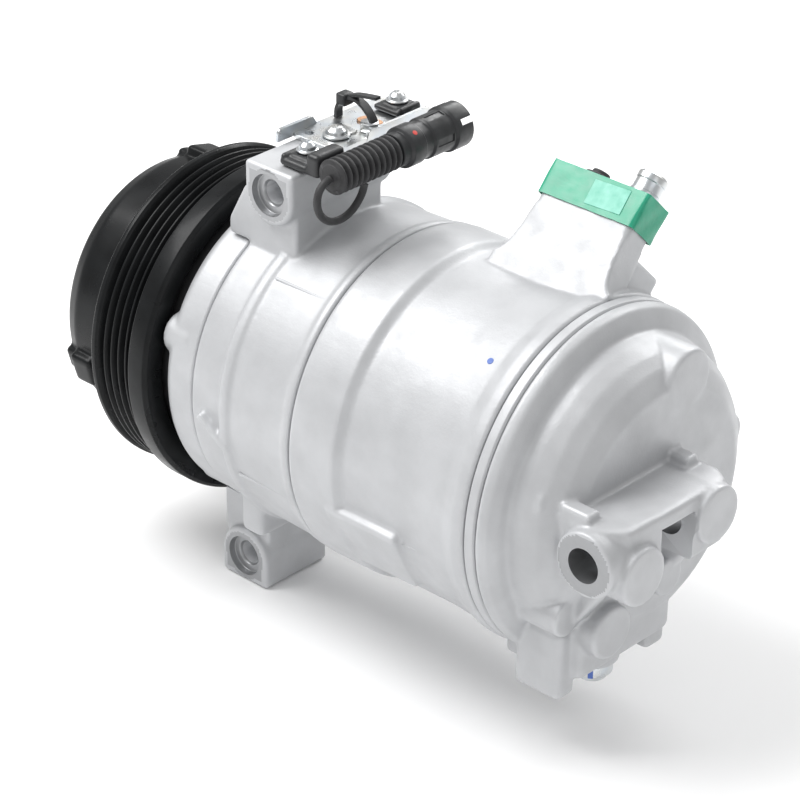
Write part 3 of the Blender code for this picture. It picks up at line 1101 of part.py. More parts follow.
def build():
    shaft_axis = add_axis("shaft_axis", FRAME, Matrix())
    make_pulley()
    make_clutch(shaft_axis)
    make_front_head()
    make_front_body()
    make_rear_body()
    make_rear_head()
    make_relief_valve()
    make_plates_and_blocks()
    make_shaft_supports()
    make_through_bolts()
    make_shaft(shaft_axis)
    swash_axis = make_swash_ring(shaft_axis)
    make_pistons(swash_axis)
    make_port_pieces()
    make_sheet_bracket()
    make_clips()
    make_connector()
    make_wiring()
    stand_on_bench()


build()
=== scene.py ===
"""Finished looks of an automotive air-conditioning compressor.

Lengths are in millimetres in the shaft's own frame (X along the shaft, from the pulley to the rear
head, with X = 0 at the pulley's rear face), and place() carries them to metres on the bench.
"""

import json
import math
import random
from functools import cache

import bmesh
import bpy
from bpy.props import FloatProperty, FloatVectorProperty, IntProperty, PointerProperty
from mathutils import Matrix, Vector


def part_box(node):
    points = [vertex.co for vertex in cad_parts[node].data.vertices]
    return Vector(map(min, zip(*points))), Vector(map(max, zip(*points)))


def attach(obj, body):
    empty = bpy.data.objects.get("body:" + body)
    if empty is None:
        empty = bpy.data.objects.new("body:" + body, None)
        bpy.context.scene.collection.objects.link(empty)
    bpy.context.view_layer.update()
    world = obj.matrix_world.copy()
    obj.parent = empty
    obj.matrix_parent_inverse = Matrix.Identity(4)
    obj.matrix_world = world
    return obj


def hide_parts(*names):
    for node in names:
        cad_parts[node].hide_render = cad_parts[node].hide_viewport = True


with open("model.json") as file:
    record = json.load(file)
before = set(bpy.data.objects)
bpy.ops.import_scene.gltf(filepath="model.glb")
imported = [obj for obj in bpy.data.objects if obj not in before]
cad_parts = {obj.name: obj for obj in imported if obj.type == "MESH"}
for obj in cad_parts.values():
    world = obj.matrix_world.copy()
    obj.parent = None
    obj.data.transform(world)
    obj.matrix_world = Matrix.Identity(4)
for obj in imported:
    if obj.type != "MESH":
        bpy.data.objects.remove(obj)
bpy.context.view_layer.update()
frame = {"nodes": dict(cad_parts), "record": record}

bl_info = {
    "name": "Air-conditioning compressor looks",
    "version": (1, 0, 0),
    "blender": (4, 5, 0),
    "location": "3D View > Sidebar > Compressor",
    "description": "Builds the finished castings, clutch, ports and wiring of the compressor",
    "category": "Object",
}

MM = 0.001
PULLEY_LOW, PULLEY_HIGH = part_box("pulley")
SHAFT_ORIGIN = Vector((PULLEY_HIGH.x, (PULLEY_LOW.y + PULLEY_HIGH.y) / 2.0,
                       (PULLEY_LOW.z + PULLEY_HIGH.z) / 2.0))


def station(node, end):
    """Where a CAD node starts (end 0) or ends (end 1) along the shaft, in millimetres."""
    return (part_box(node)[end].x - SHAFT_ORIGIN.x) / MM


def span(node):
    return station(node, 0), station(node, 1)


# Stations along the shaft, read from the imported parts
PULLEY_FRONT = station("pulley", 0)
DRUM_FRONT = station("drum_cover", 0)
DRUM_REAR = station("drum_cover", 1)
BOSS_FRONT = 2.0
SEAM_FRONT = station("front_head", 1) + 0.3
SEAM_MIDDLE = station("rear_body", 0)
SEAM_REAR = station("rear_valve_plate", 0) - 0.1
PLATE_REAR = station("rear_valve_plate", 1)
BRACKET_REAR = station("rear_head", 1)
REAR_FACE = PLATE_REAR + 26.0

# Radii and lengths of the finished surfaces
BODY_RADIUS = 59.5
BODY_BORE = 55.0
PULLEY_RADIUS = 59.5
PULLEY_REAR_RADIUS = 62.0
DRUM_RADIUS = 50.5
LUG_HEIGHT = 74.0
LUG_TOP = 84.0
LUG_HALF_WIDTH = 11.2
LUG_NEAR_FACE = -33.0
LUG_BORE = 4.25
LUG_SEAT = 9.3                   # outer radius of the turned seat round a lug's bore
UPPER_LUG = 33.0
UPPER_LUG_LENGTH = 50.0
LOWER_LUG = 18.0
LOWER_LUG_LENGTH = 31.0
BRACKET_BORE_X = 188.5
BRACKET_BORE_Z = 3.0
BRACKET_BORE = 6.1
VALVE_Y = -13.0
BOLT_CIRCLE = 49.0
BOLT_HOLE = 3.5
RIB_PITCH = 3.56
RIBS = 5
GROOVE_RADIUS = 56.9
SEAM_GAP = 0.35
SHEET_LOW = 84.3
SHEET_HIGH = 85.9
LEFT_SCREW = (40.0, -21.0)        # x and y of the three dome screws
BRACKET_SCREW = (34.0, -1.0)
RIGHT_SCREW = (34.0, 29.0)
SCREW_HOLE = 2.3
CLIP_VOXEL = 0.0004              # metres
BOOT_X = 59.5
BOOT_Z = 88.0
BOOT_START = -30.0
BOOT_FOLDS = 11
CONNECTOR_MOUTH = 32.0
PORT_X = 123.0
PORT_REACH = 85.5
PORT_OFFSET = 32.0
PORT_TILT = math.radians(45.0)
PORT_BORE = -6.0                 # from the port block's middle line
PORT_STUD = 13.25
TURNS = 128                      # sides of the large turned surfaces
SMALL_TURNS = 40


# ---------------------------------------------------------------- settings a user can change
class CompressorFinish(bpy.types.PropertyGroup):
    """Colours and surface sizes of the compressor's finishes."""

    cast_color: FloatVectorProperty(name="Cast colour", description="Colour of the bare castings",
                                    subtype="COLOR", size=3, min=0.0, max=1.0,
                                    default=(0.50, 0.507, 0.52))
    cast_roughness: FloatProperty(name="Cast roughness",
                                  description="Mean roughness of the castings", subtype="FACTOR",
                                  min=0.0, max=1.0, default=0.5)
    grain_size: FloatProperty(name="Cast grain", description="Size of the castings' surface grain",
                              subtype="DISTANCE", unit="LENGTH", min=0.0001, max=0.01,
                              default=0.0009)
    black_color: FloatVectorProperty(name="Clutch colour",
                                     description="Colour of the painted clutch", subtype="COLOR",
                                     size=3, min=0.0, max=1.0, default=(0.006, 0.0065, 0.007))
    tape_color: FloatVectorProperty(name="Tape colour",
                                    description="Colour of the port sealing tape", subtype="COLOR",
                                    size=3, min=0.0, max=1.0, default=(0.01, 0.33, 0.19))
    floor_color: FloatVectorProperty(name="Floor colour", description="Colour of the studio floor",
                                     subtype="COLOR", size=3, min=0.0, max=1.0,
                                     default=(0.97, 0.97, 0.97))


class CompressorSizes(bpy.types.PropertyGroup):
    """Mesh sizes of the finished pieces."""

    voxel: FloatProperty(name="Casting detail",
                         description="Grid size that the castings are blended on",
                         subtype="DISTANCE", unit="LENGTH", min=0.0004, max=0.003, default=0.00075)
    blend_steps: IntProperty(name="Fillet steps",
                             description="Smoothing steps that round the castings' edges", min=0,
                             max=30, default=3)
    lead_diameter: FloatProperty(name="Lead diameter", description="Diameter of the clutch lead",
                                 subtype="DISTANCE", unit="LENGTH", min=0.001, max=0.006,
                                 default=0.0027)


def finish():
    return bpy.context.scene.compressor_finish


def sizes():
    return bpy.context.scene.compressor_sizes


# ---------------------------------------------------------------- mesh helpers
def mesh_from(shape, name):
    bmesh.ops.recalc_face_normals(shape, faces=shape.faces)
    if shape.calc_volume(signed=True) < 0.0:
        bmesh.ops.reverse_faces(shape, faces=shape.faces)
    mesh = bpy.data.meshes.new(name)
    shape.to_mesh(mesh)
    shape.free()
    return mesh


def rounded(corners, steps=4):
    """An outline whose corners (a, b, radius) are rounded; corners without a radius stay sharp."""
    points = []
    count = len(corners)
    for index, corner in enumerate(corners):
        here = Vector(corner[:2])
        radius = corner[2] if len(corner) > 2 else 0.0
        if radius <= 0.0:
            points.append(tuple(here))
            continue
        before = Vector(corners[index - 1][:2]) - here
        after = Vector(corners[(index + 1) % count][:2]) - here
        half = before.angle(after) / 2.0
        reach = min(radius / math.tan(half), 0.48 * before.length, 0.48 * after.length)
        start = here + before.normalized() * reach
        end = here + after.normalized() * reach
        for step in range(steps + 1):
            t = step / steps
            spot = start * (1.0 - t) ** 2 + here * 2.0 * t * (1.0 - t) + end * t ** 2
            points.append(tuple(spot))
    return points


def revolve(outline, sides=TURNS, name="turned"):
    """Turn a closed outline of (x, radius) points about the X axis."""
    shape = bmesh.new()
    rim = [shape.verts.new((x * MM, 0.0, radius * MM)) for x, radius in outline]
    edges = []
    for index, vertex in enumerate(rim):
        other = rim[(index + 1) % len(rim)]
        if outline[index][1] > 0.0 or outline[(index + 1) % len(rim)][1] > 0.0:
            edges.append(shape.edges.new((vertex, other)))
    bmesh.ops.spin(shape, geom=rim + edges, cent=(0.0, 0.0, 0.0), axis=(1.0, 0.0, 0.0),
                   angle=2.0 * math.pi, steps=sides, use_merge=True, use_duplicate=False)
    bmesh.ops.remove_doubles(shape, verts=shape.verts, dist=0.000002)
    bmesh.ops.dissolve_degenerate(shape, edges=shape.edges, dist=0.000001)
    return mesh_from(shape, name)


def ring(start, end, inner, outer, edge=0.5):
    return rounded([(start, inner, edge), (start, outer, edge), (end, outer, edge),
                    (end, inner, edge)], 3)


def rod(start, end, radius, edge=0.5):
    return rounded([(start, 0.0), (start, radius, edge), (end, radius, edge), (end, 0.0)], 3)


def block(low, high, edge=1.0, segments=3):
    """A box with rounded edges, in millimetres."""
    shape = bmesh.new()
    bmesh.ops.create_cube(shape, size=1.0)
    low = Vector(low)
    high = Vector(high)
    for vertex in shape.verts:
        vertex.co = Vector([(low[i] + high[i]) / 2.0 + vertex.co[i] * (high[i] - low[i])
                            for i in range(3)]) * MM
    if edge > 0.0:
        bmesh.ops.bevel(shape, geom=list(shape.edges), offset=edge * MM, segments=segments,
                        profile=0.5, affect="EDGES", clamp_overlap=True)
    return mesh_from(shape, "block")


def slab(outline, start, end, axis="Y", edge=0.0, segments=2):
    """Extrude an outline of (x, z) along Y, of (y, z) along X or of (x, y) along Z."""
    shape = bmesh.new()
    order = {"X": lambda a, b, c: (c, a, b), "Y": lambda a, b, c: (a, c, b), "Z": lambda a, b,
             c: (a, b, c)}
    corners = [shape.verts.new(Vector(order[axis](a, b, start)) * MM) for a, b in outline]
    face = shape.faces.new(corners)
    grown = bmesh.ops.extrude_face_region(shape, geom=[face])
    moved = [item for item in grown["geom"] if isinstance(item, bmesh.types.BMVert)]
    bmesh.ops.translate(shape, vec=Vector(order[axis](0.0, 0.0, end - start)) * MM, verts=moved)
    if edge > 0.0:
        bmesh.ops.bevel(shape, geom=list(shape.edges), offset=edge * MM, segments=segments,
                        profile=0.5, affect="EDGES", clamp_overlap=True)
    return mesh_from(shape, "slab")


def skin(shape, rows):
    """Faces between closed rows of vertices."""
    for near, far in zip(rows, rows[1:]):
        for k in range(len(near)):
            n = (k + 1) % len(near)
            shape.faces.new((near[k], near[n], far[n], far[k]))


def moved(mesh, matrix):
    """Move a mesh, keeping its faces outward when the matrix mirrors it."""
    mesh.transform(matrix)
    if matrix.determinant() < 0.0:
        mesh.flip_normals()
    return mesh


def lathe(corners, steps, sides=TURNS):
    """Turn an outline about the X axis after rounding its corners."""
    return revolve(rounded(corners, steps), sides)


def bar(start, end, radius, edge, sides, where):
    """A round bar along X, carried by a matrix."""
    return moved(revolve(rod(start, end, radius, edge), sides), where)


def about(axis, degrees):
    return Matrix.Rotation(math.radians(degrees), 4, axis)


def shift(x=0.0, y=0.0, z=0.0):
    return Matrix.Translation(Vector((x, y, z)) * MM)


def toward(axis, x, y, z):
    """Carries a piece turned about X so that it runs along axis from the point."""
    turn = {"+X": Matrix(), "+Y": about("Z", 90.0),
            "+Z": about("Y", -90.0),
            "-Z": about("Y", 90.0)}[axis]
    return shift(x, y, z) @ turn


def port_frame(x=0.0, across=0.0, along=0.0):
    """From the port block's middle line: local Z along its lean, local X along the shaft."""
    lean = Vector((0.0, math.sin(PORT_TILT), math.cos(PORT_TILT)))
    side = Vector((0.0, math.cos(PORT_TILT), -math.sin(PORT_TILT)))
    turn = Matrix((Vector((1.0, 0.0, 0.0)), -side, lean)).transposed().to_4x4()
    spot = Vector((PORT_X + x, 0.0, 0.0)) + (across - PORT_OFFSET) * side + along * lean
    return Matrix.Translation(spot * MM) @ turn


def joined(meshes, name):
    """One mesh that holds several closed forms."""
    shape = bmesh.new()
    for mesh in meshes:
        shape.from_mesh(mesh)
        bpy.data.meshes.remove(mesh)
    mesh = bpy.data.meshes.new(name)
    shape.to_mesh(mesh)
    shape.free()
    return mesh


def place(name, mesh, materials, body="root", sharp=40.0):
    """Put a piece on the bench, riding on a body of the compressor."""
    piece = bpy.data.objects.new(name, mesh)
    bpy.context.scene.collection.objects.link(piece)
    piece.location = SHAFT_ORIGIN
    mesh.materials.clear()
    for material in materials if isinstance(materials, (list, tuple)) else [materials]:
        mesh.materials.append(material)
    mesh.shade_smooth()
    mesh.set_sharp_from_angle(angle=math.radians(sharp))
    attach(piece, body)
    return piece


def helper_object(mesh):
    item = bpy.data.objects.new("helper", mesh)
    bpy.context.scene.collection.objects.link(item)
    item.hide_render = True
    return item


def modified(mesh, steps):
    """The mesh after its modifiers, each given as a type and its settings."""
    item = helper_object(mesh)
    for kind, settings in steps:
        modifier = item.modifiers.new(kind.title(), kind)
        for key, value in settings.items():
            setattr(modifier, key, value)
    bpy.context.view_layer.update()
    graph = bpy.context.evaluated_depsgraph_get()
    result = bpy.data.meshes.new_from_object(item.evaluated_get(graph))
    bpy.data.objects.remove(item, do_unlink=True)
    bpy.data.meshes.remove(mesh)
    return result


def blended(meshes, voxel=None, steps=None):
    """Blend overlapping closed forms into one cast form with rounded edges and inner corners."""
    steps = sizes().blend_steps if steps is None else steps
    return modified(joined(meshes, "casting"),
                    [("REMESH", {"mode": "VOXEL", "voxel_size": voxel or sizes().voxel}),
                     ("SMOOTH", {"factor": 0.5, "iterations": steps})])


def carved(mesh, tools=(), added=(), kept=(), solver="MANIFOLD"):
    """Join forms to a closed mesh, cut the tools from it and trim it to the kept forms."""
    name = mesh.name
    steps = []
    helpers = []
    for operation, forms in (("UNION", added), ("DIFFERENCE", tools), ("INTERSECT", kept)):
        for form in forms:
            helpers.append(helper_object(form))
            steps.append(("BOOLEAN", {"operation": operation, "object": helpers[-1],
                                      "solver": solver}))
    result = modified(mesh, steps)
    for helper in helpers:
        form = helper.data
        bpy.data.objects.remove(helper, do_unlink=True)
        bpy.data.meshes.remove(form)
    if len(result.polygons) < 12:
        raise RuntimeError("a cut left nothing of " + name)
    return result


def hexagon(radius, turn=0.0, a=0.0, b=0.0):
    angles = [math.radians(60.0 * k + turn) for k in range(6)]
    return [(radius * math.cos(angle) + a, radius * math.sin(angle) + b) for angle in angles]


def assign_faces(piece, index, test):
    """Give material slot index to the faces whose centre and normal (millimetres) pass the test."""
    for face in piece.data.polygons:
        if test(face.center / MM, face.normal):
            face.material_index = index


# ---------------------------------------------------------------- materials
class Nodes:
    """Short names for building a material's nodes."""

    def __init__(self, name):
        self.material = bpy.data.materials.new(name)
        self.material.use_nodes = True
        self.tree = self.material.node_tree
        self.shader = self.tree.nodes["Principled BSDF"]
        self.coords = self.tree.nodes.new("ShaderNodeTexCoord").outputs["Object"]

    def noise(self, size, detail=3.0, roughness=0.5, stretch=None):
        """Noise whose features are about size metres across."""
        node = self.tree.nodes.new("ShaderNodeTexNoise")
        node.inputs["Scale"].default_value = 1.0 / size
        node.inputs["Detail"].default_value = detail
        node.inputs["Roughness"].default_value = roughness
        source = self.coords
        if stretch:
            mapping = self.tree.nodes.new("ShaderNodeMapping")
            mapping.inputs["Scale"].default_value = stretch
            self.link(self.coords, mapping.inputs["Vector"])
            source = mapping.outputs["Vector"]
        self.link(source, node.inputs["Vector"])
        return node.outputs["Fac"]

    def cells(self, size):
        node = self.tree.nodes.new("ShaderNodeTexVoronoi")
        node.inputs["Scale"].default_value = 1.0 / size
        self.link(self.coords, node.inputs["Vector"])
        return node.outputs["Distance"]

    def link(self, source, target):
        self.tree.links.new(source, target)

    def ramp(self, source, low, high, start=0.0, end=1.0):
        """Spread a value between two colours."""
        node = self.tree.nodes.new("ShaderNodeValToRGB")
        node.color_ramp.elements[0].position = start
        node.color_ramp.elements[0].color = (*low, 1.0)
        node.color_ramp.elements[1].position = end
        node.color_ramp.elements[1].color = (*high, 1.0)
        self.link(source, node.inputs["Fac"])
        return node.outputs["Color"]

    def spread(self, source, low, high, start=0.0, end=1.0):
        node = self.tree.nodes.new("ShaderNodeMapRange")
        node.inputs["From Min"].default_value = start
        node.inputs["From Max"].default_value = end
        node.inputs["To Min"].default_value = low
        node.inputs["To Max"].default_value = high
        self.link(source, node.inputs["Value"])
        return node.outputs["Result"]

    def mix(self, factor, first, second):
        node = self.tree.nodes.new("ShaderNodeMix")
        node.data_type = "RGBA"
        self.link(factor, node.inputs["Factor"])
        for socket, value in ((node.inputs["A"], first), (node.inputs["B"], second)):
            if isinstance(value, (tuple, list)):
                socket.default_value = (*value, 1.0)
            else:
                self.link(value, socket)
        return node.outputs["Result"]

    def edges(self, low=0.5, high=0.62):
        """1 on convex edges: the castings paint wear and a highlight there, the rubber its grey
        bloom.
        """
        node = self.tree.nodes.new("ShaderNodeNewGeometry")
        return self.spread(node.outputs["Pointiness"], 0.0, 1.0, low, high)

    def bump(self, heights):
        """Chain (height, strength, distance) layers into the shader's normal."""
        normal = None
        for height, strength, distance in heights:
            node = self.tree.nodes.new("ShaderNodeBump")
            node.inputs["Strength"].default_value = strength
            node.inputs["Distance"].default_value = distance
            self.link(height, node.inputs["Height"])
            if normal is not None:
                self.link(normal, node.inputs["Normal"])
            normal = node.outputs["Normal"]
        self.link(normal, self.shader.inputs["Normal"])

    def base(self, source):
        self.link(source, self.shader.inputs["Base Color"])

    def gloss(self, source):
        self.link(source, self.shader.inputs["Roughness"])

    def set(self, **values):
        for key, value in values.items():
            socket = key.replace("_", " ").title().replace("Ior", "IOR")
            self.shader.inputs[socket].default_value = value


def shade(color, factor):
    return tuple(min(1.0, c * factor) for c in color)


def plain(name, tint, rough, grain, metallic=0.0):
    """A finish: tint (size, dark, light), rough (size, low, high), grain (size, force, depth)."""
    n = Nodes(name)
    n.base(n.ramp(n.noise(tint[0]), tint[1], tint[2]))
    n.gloss(n.spread(n.noise(rough[0]), rough[1], rough[2]))
    n.set(metallic=metallic)
    n.bump([(n.noise(grain[0]), grain[1], grain[2])])
    return n.material


@cache
def cast_metal():
    """Bare die-cast aluminium: satin, faintly mottled, with a fine blasted grain, and convex edges
    painted lighter as wear and a painted highlight.
    """
    n = Nodes("cast_metal")
    color = tuple(finish().cast_color)
    grain = finish().grain_size
    mottle = n.noise(0.016, 4.0, 0.55)
    base = n.ramp(mottle, shade(color, 0.95), shade(color, 1.05), 0.35, 0.65)
    # painted highlight: convex edges get 1.2 times the cast colour, partly edge wear, partly light
    # caught on the edges
    wear_and_highlight = n.mix(n.edges(0.51, 0.58), base, shade(color, 1.2))
    n.base(wear_and_highlight)
    rough = finish().cast_roughness
    n.gloss(n.spread(n.noise(0.007, 3.0), rough - 0.07, rough + 0.08, 0.3, 0.7))
    n.set(metallic=0.3)
    n.bump([(n.noise(0.02, 3.0), 0.12, 0.0008), (n.noise(grain, 3.0, 0.65), 0.4, 0.00016),
            (n.spread(n.cells(0.0035), 0.0, 1.0, 0.0, 0.12), 0.05, 0.0002)])
    return n.material


@cache
def machined_metal():
    """Faced aluminium and bores: brighter, with fine tool lines; the base colour is darkened as
    painted shade for the bores.
    """
    n = Nodes("machined_metal")
    # painted shade: the base colour is 0.72 of the cast colour so the bores read dark; the faced
    # seats get the same darkening
    color = shade(tuple(finish().cast_color), 0.72)
    lines = n.noise(0.0014, 2.0, 0.5, (1.0, 0.15, 1.0))
    n.base(n.ramp(n.noise(0.01), shade(color, 0.94), color))
    n.gloss(n.spread(lines, 0.32, 0.42, 0.3, 0.7))
    n.set(metallic=0.8)
    n.bump([(lines, 0.03, 0.00003)])
    return n.material


@cache
def black_paint():
    """Glossy black electro-coat with a light orange peel and dust."""
    n = Nodes("black_paint")
    color = tuple(finish().black_color)
    dust = n.noise(0.0012, 5.0, 0.7)
    tint = n.ramp(n.noise(0.012, 3.0), color, shade(color, 1.8), 0.35, 0.7)
    n.base(n.mix(n.spread(dust, 0.0, 0.35, 0.62, 0.8), tint, (0.03, 0.03, 0.031)))
    n.gloss(n.spread(n.noise(0.009, 4.0), 0.24, 0.38, 0.3, 0.7))
    n.set(specular_ior_level=0.14, coat_weight=0.05, coat_roughness=0.14)
    n.bump([(n.noise(0.0016, 2.0), 0.05, 0.0001), (n.noise(0.014, 2.0), 0.1, 0.0004)])
    return n.material


@cache
def coil_resin():
    return plain("coil_resin", (0.004, (0.012, 0.012, 0.013), (0.03, 0.03, 0.032)),
                 (0.003, 0.4, 0.6), (0.0009, 0.2, 0.0001))


@cache
def ground_steel():
    """Turned and ground steel with faint lines across its length."""
    n = Nodes("ground_steel")
    lines = n.noise(0.0005, 2.0, 0.5, (1.0, 0.06, 0.06))
    n.base(n.ramp(n.noise(0.01), (0.5, 0.51, 0.53), (0.62, 0.63, 0.65)))
    n.gloss(n.spread(lines, 0.2, 0.4, 0.3, 0.7))
    n.set(metallic=1.0)
    n.bump([(lines, 0.15, 0.00004)])
    return n.material


@cache
def zinc_plate():
    """Bright zinc with the plating's faint blue and straw tints."""
    n = Nodes("zinc_plate")
    tint = n.ramp(n.noise(0.006, 3.0), (0.60, 0.64, 0.68), (0.68, 0.68, 0.66), 0.3, 0.7)
    n.base(tint)
    n.gloss(n.spread(n.noise(0.004, 3.0), 0.26, 0.34, 0.3, 0.7))
    n.set(metallic=1.0)
    n.bump([(n.noise(0.0012, 3.0), 0.03, 0.00004)])
    return n.material


@cache
def bearing_bronze():
    return plain("bearing_bronze", (0.003, (0.48, 0.31, 0.14), (0.62, 0.42, 0.22)),
                 (0.001, 0.25, 0.45), (0.0008, 0.12, 0.00005), 1.0)


@cache
def black_plastic():
    """Glass-filled black plastic with a moulded texture."""
    n = Nodes("black_plastic")
    n.base(n.ramp(n.noise(0.005, 4.0), (0.013, 0.014, 0.015), (0.03, 0.031, 0.033), 0.3, 0.7))
    n.gloss(n.spread(n.noise(0.002, 3.0), 0.3, 0.46, 0.3, 0.7))
    n.set(specular_ior_level=0.45)
    n.bump([(n.noise(0.0006, 2.0), 0.14, 0.00006)])
    return n.material


@cache
def black_rubber():
    """Matte rubber with a bloom of grey along its ridges."""
    n = Nodes("black_rubber")
    base = n.ramp(n.noise(0.003, 4.0), (0.016, 0.016, 0.017), (0.035, 0.035, 0.037), 0.3, 0.7)
    n.base(n.mix(n.edges(0.52, 0.66), base, (0.07, 0.07, 0.073)))
    n.gloss(n.spread(n.noise(0.0015), 0.48, 0.68, 0.3, 0.7))
    n.bump([(n.noise(0.0007, 3.0), 0.2, 0.00008)])
    return n.material


@cache
def green_tape():
    """Glossy sealing tape, a little uneven and creased where it is pulled round the corners."""
    n = Nodes("green_tape")
    color = tuple(finish().tape_color)
    n.base(n.ramp(n.noise(0.006, 3.0), shade(color, 0.86), shade(color, 1.1), 0.3, 0.7))
    n.gloss(n.spread(n.noise(0.003, 3.0), 0.28, 0.45, 0.3, 0.7))
    n.set(coat_weight=0.25, coat_roughness=0.2)
    creases = n.noise(0.0035, 2.0, 0.4, (0.35, 1.6, 1.6))
    n.bump([(creases, 0.25, 0.0004), (n.noise(0.0008), 0.08, 0.00006)])
    return n.material


@cache
def pale_patch():
    """The tape's overlapped end, paler where air lies under it."""
    n = Nodes("pale_patch")
    n.base(n.ramp(n.noise(0.004, 3.0), (0.08, 0.44, 0.31), (0.2, 0.58, 0.46), 0.35, 0.7))
    n.gloss(n.spread(n.noise(0.003), 0.25, 0.4))
    n.bump([(n.noise(0.003), 0.15, 0.0003)])
    return n.material


@cache
def copper_terminal():
    return plain("copper_terminal", (0.002, (0.55, 0.3, 0.17), (0.74, 0.46, 0.3)),
                 (0.001, 0.25, 0.45), (0.0008, 0.1, 0.00005), 1.0)


@cache
def red_seal():
    return plain("red_seal", (0.002, (0.5, 0.03, 0.02), (0.62, 0.05, 0.035)),
                 (0.001, 0.4, 0.6), (0.0008, 0.1, 0.00005))


@cache
def blue_mark():
    return plain("blue_mark", (0.0012, (0.05, 0.12, 0.42), (0.12, 0.2, 0.55)),
                 (0.001, 0.4, 0.6), (0.0006, 0.2, 0.00005))


# ---------------------------------------------------------------- pieces
def add_pulley():
    """The grooved pulley and its coil."""
    corners = [(PULLEY_FRONT, 24.0), (PULLEY_FRONT, 58.3, 1.0), (PULLEY_FRONT + 1.2, 60.3, 0.8),
               (PULLEY_FRONT + 3.0, 60.3, 0.5)]
    first = PULLEY_FRONT + 3.5
    for rib in range(RIBS):
        left = first + rib * RIB_PITCH
        corners += [(left + 0.1 * RIB_PITCH, PULLEY_RADIUS, 0.4),
                    (left + 0.42 * RIB_PITCH, GROOVE_RADIUS, 0.25),
                    (left + 0.58 * RIB_PITCH, GROOVE_RADIUS, 0.25),
                    (left + 0.9 * RIB_PITCH, PULLEY_RADIUS, 0.4)]
    corners += [(-8.4, PULLEY_REAR_RADIUS, 0.8), (-1.2, PULLEY_REAR_RADIUS, 0.8), (0.0, 60.6, 0.6),
                (0.0, 53.4, 0.8), (-2.0, 52.9), (PULLEY_FRONT + 4.5, 52.9, 1.5),
                (PULLEY_FRONT + 4.5, 29.0, 1.5), (-4.0, 29.0, 0.6), (-4.0, 25.0, 0.6),
                (PULLEY_FRONT + 3.0, 25.0), (PULLEY_FRONT + 3.0, 24.0, 0.5)]
    pulley = place("pulley_shell", lathe(corners, 3, 160), black_paint(), "pulley", 50.0)
    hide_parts("pulley")
    low, high = span("field_coil")
    pot = lathe([(low, 30.6, 1.0), (low, 51.3, 1.0), (high - 0.3, 51.3, 1.0),
                 (high - 0.3, 30.6, 0.5)], 3, 96)
    coil = place("coil_pot", pot, coil_resin())
    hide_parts("field_coil")


def add_clutch():
    """Armature plate, drum cover with its tabs, damper, hub and nut."""
    front = DRUM_FRONT
    skin = rounded([(front, 30.0, 0.6), (front, 42.5, 2.5), (front + 2.0, 47.6, 3.0),
                    (front + 8.0, 50.0, 3.0), (DRUM_REAR, DRUM_RADIUS, 0.6), (DRUM_REAR, 48.0, 0.6),
                    (front + 5.0, 47.0, 2.0), (front + 2.5, 44.0, 2.0), (front + 2.5, 30.0, 0.6)],
                   5)
    forms = [revolve(skin, 144)]
    for k in range(3):
        turn = about("X", 76.0 + 120.0 * k)
        tab = block((DRUM_REAR - 13.5, -2.6, -6.2), (DRUM_REAR - 2.5, 3.4, 6.2), 1.8, 4)
        forms.append(moved(tab, turn @ shift(0.0, DRUM_RADIUS, 0.0)))
        wedge = block((DRUM_REAR - 19.0, -3.0, -4.6), (DRUM_REAR - 8.0, 0.9, 4.6), 1.4, 3)
        forms.append(moved(wedge, turn @ shift(0.0, DRUM_RADIUS - 0.4, 0.0)))
    drum = place("drum_shell", blended(forms, 0.0008, 3), black_paint(), "shaft", 60.0)
    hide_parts("drum_cover")
    plate = place("armature_disc", revolve(ring(*span("armature_plate"), 28.0, 51.9, 0.7), 144),
                  black_paint(), "armature")
    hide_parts("armature_plate")
    low, high = span("damper_ring")
    damper = place("damper_rubber", revolve(ring(low, high, 25.3, 36.0, 0.6), 96), black_rubber(),
                   "shaft")
    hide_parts("damper_ring")
    face, end = span("clutch_hub")
    hub_corners = [(face, 7.4, 0.4), (face, 11.5, 0.4), (face + 1.0, 12.5, 0.4),
                   (face + 1.0, 21.0, 0.6), (face, 22.5, 0.5), (face, 24.9, 0.5),
                   (face + 4.0, 24.9, 0.5), (face + 4.0, 13.0, 1.0), (end, 13.0, 0.5),
                   (end, 7.4, 0.4)]
    hub = place("hub_flange", lathe(hub_corners, 3, 96), black_paint(), "shaft")
    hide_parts("clutch_hub")
    low, high = span("hub_nut")
    cone = lathe([(low, 0.0), (low, 8.3), (low + 1.6, 9.7), (high, 9.7), (high, 0.0)], 2, 64)
    hole = revolve(rod(low - 5.0, high + 5.0, 5.2, 0.0), 48)
    nut = carved(slab(hexagon(9.5), low, high, "X"), [hole], kept=[cone], solver="EXACT")
    nut_piece = place("shaft_nut", nut, zinc_plate(), "shaft", 25.0)
    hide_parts("hub_nut")


def bolt_places():
    return [math.radians(16.0 + 72.0 * k) for k in range(5)]


def axial_rod(start, end, radius, circle, angle, edge=0.8, sides=SMALL_TURNS):
    where = shift(0.0, circle * math.cos(angle), circle * math.sin(angle))
    return bar(start, end, radius, edge, sides, where)


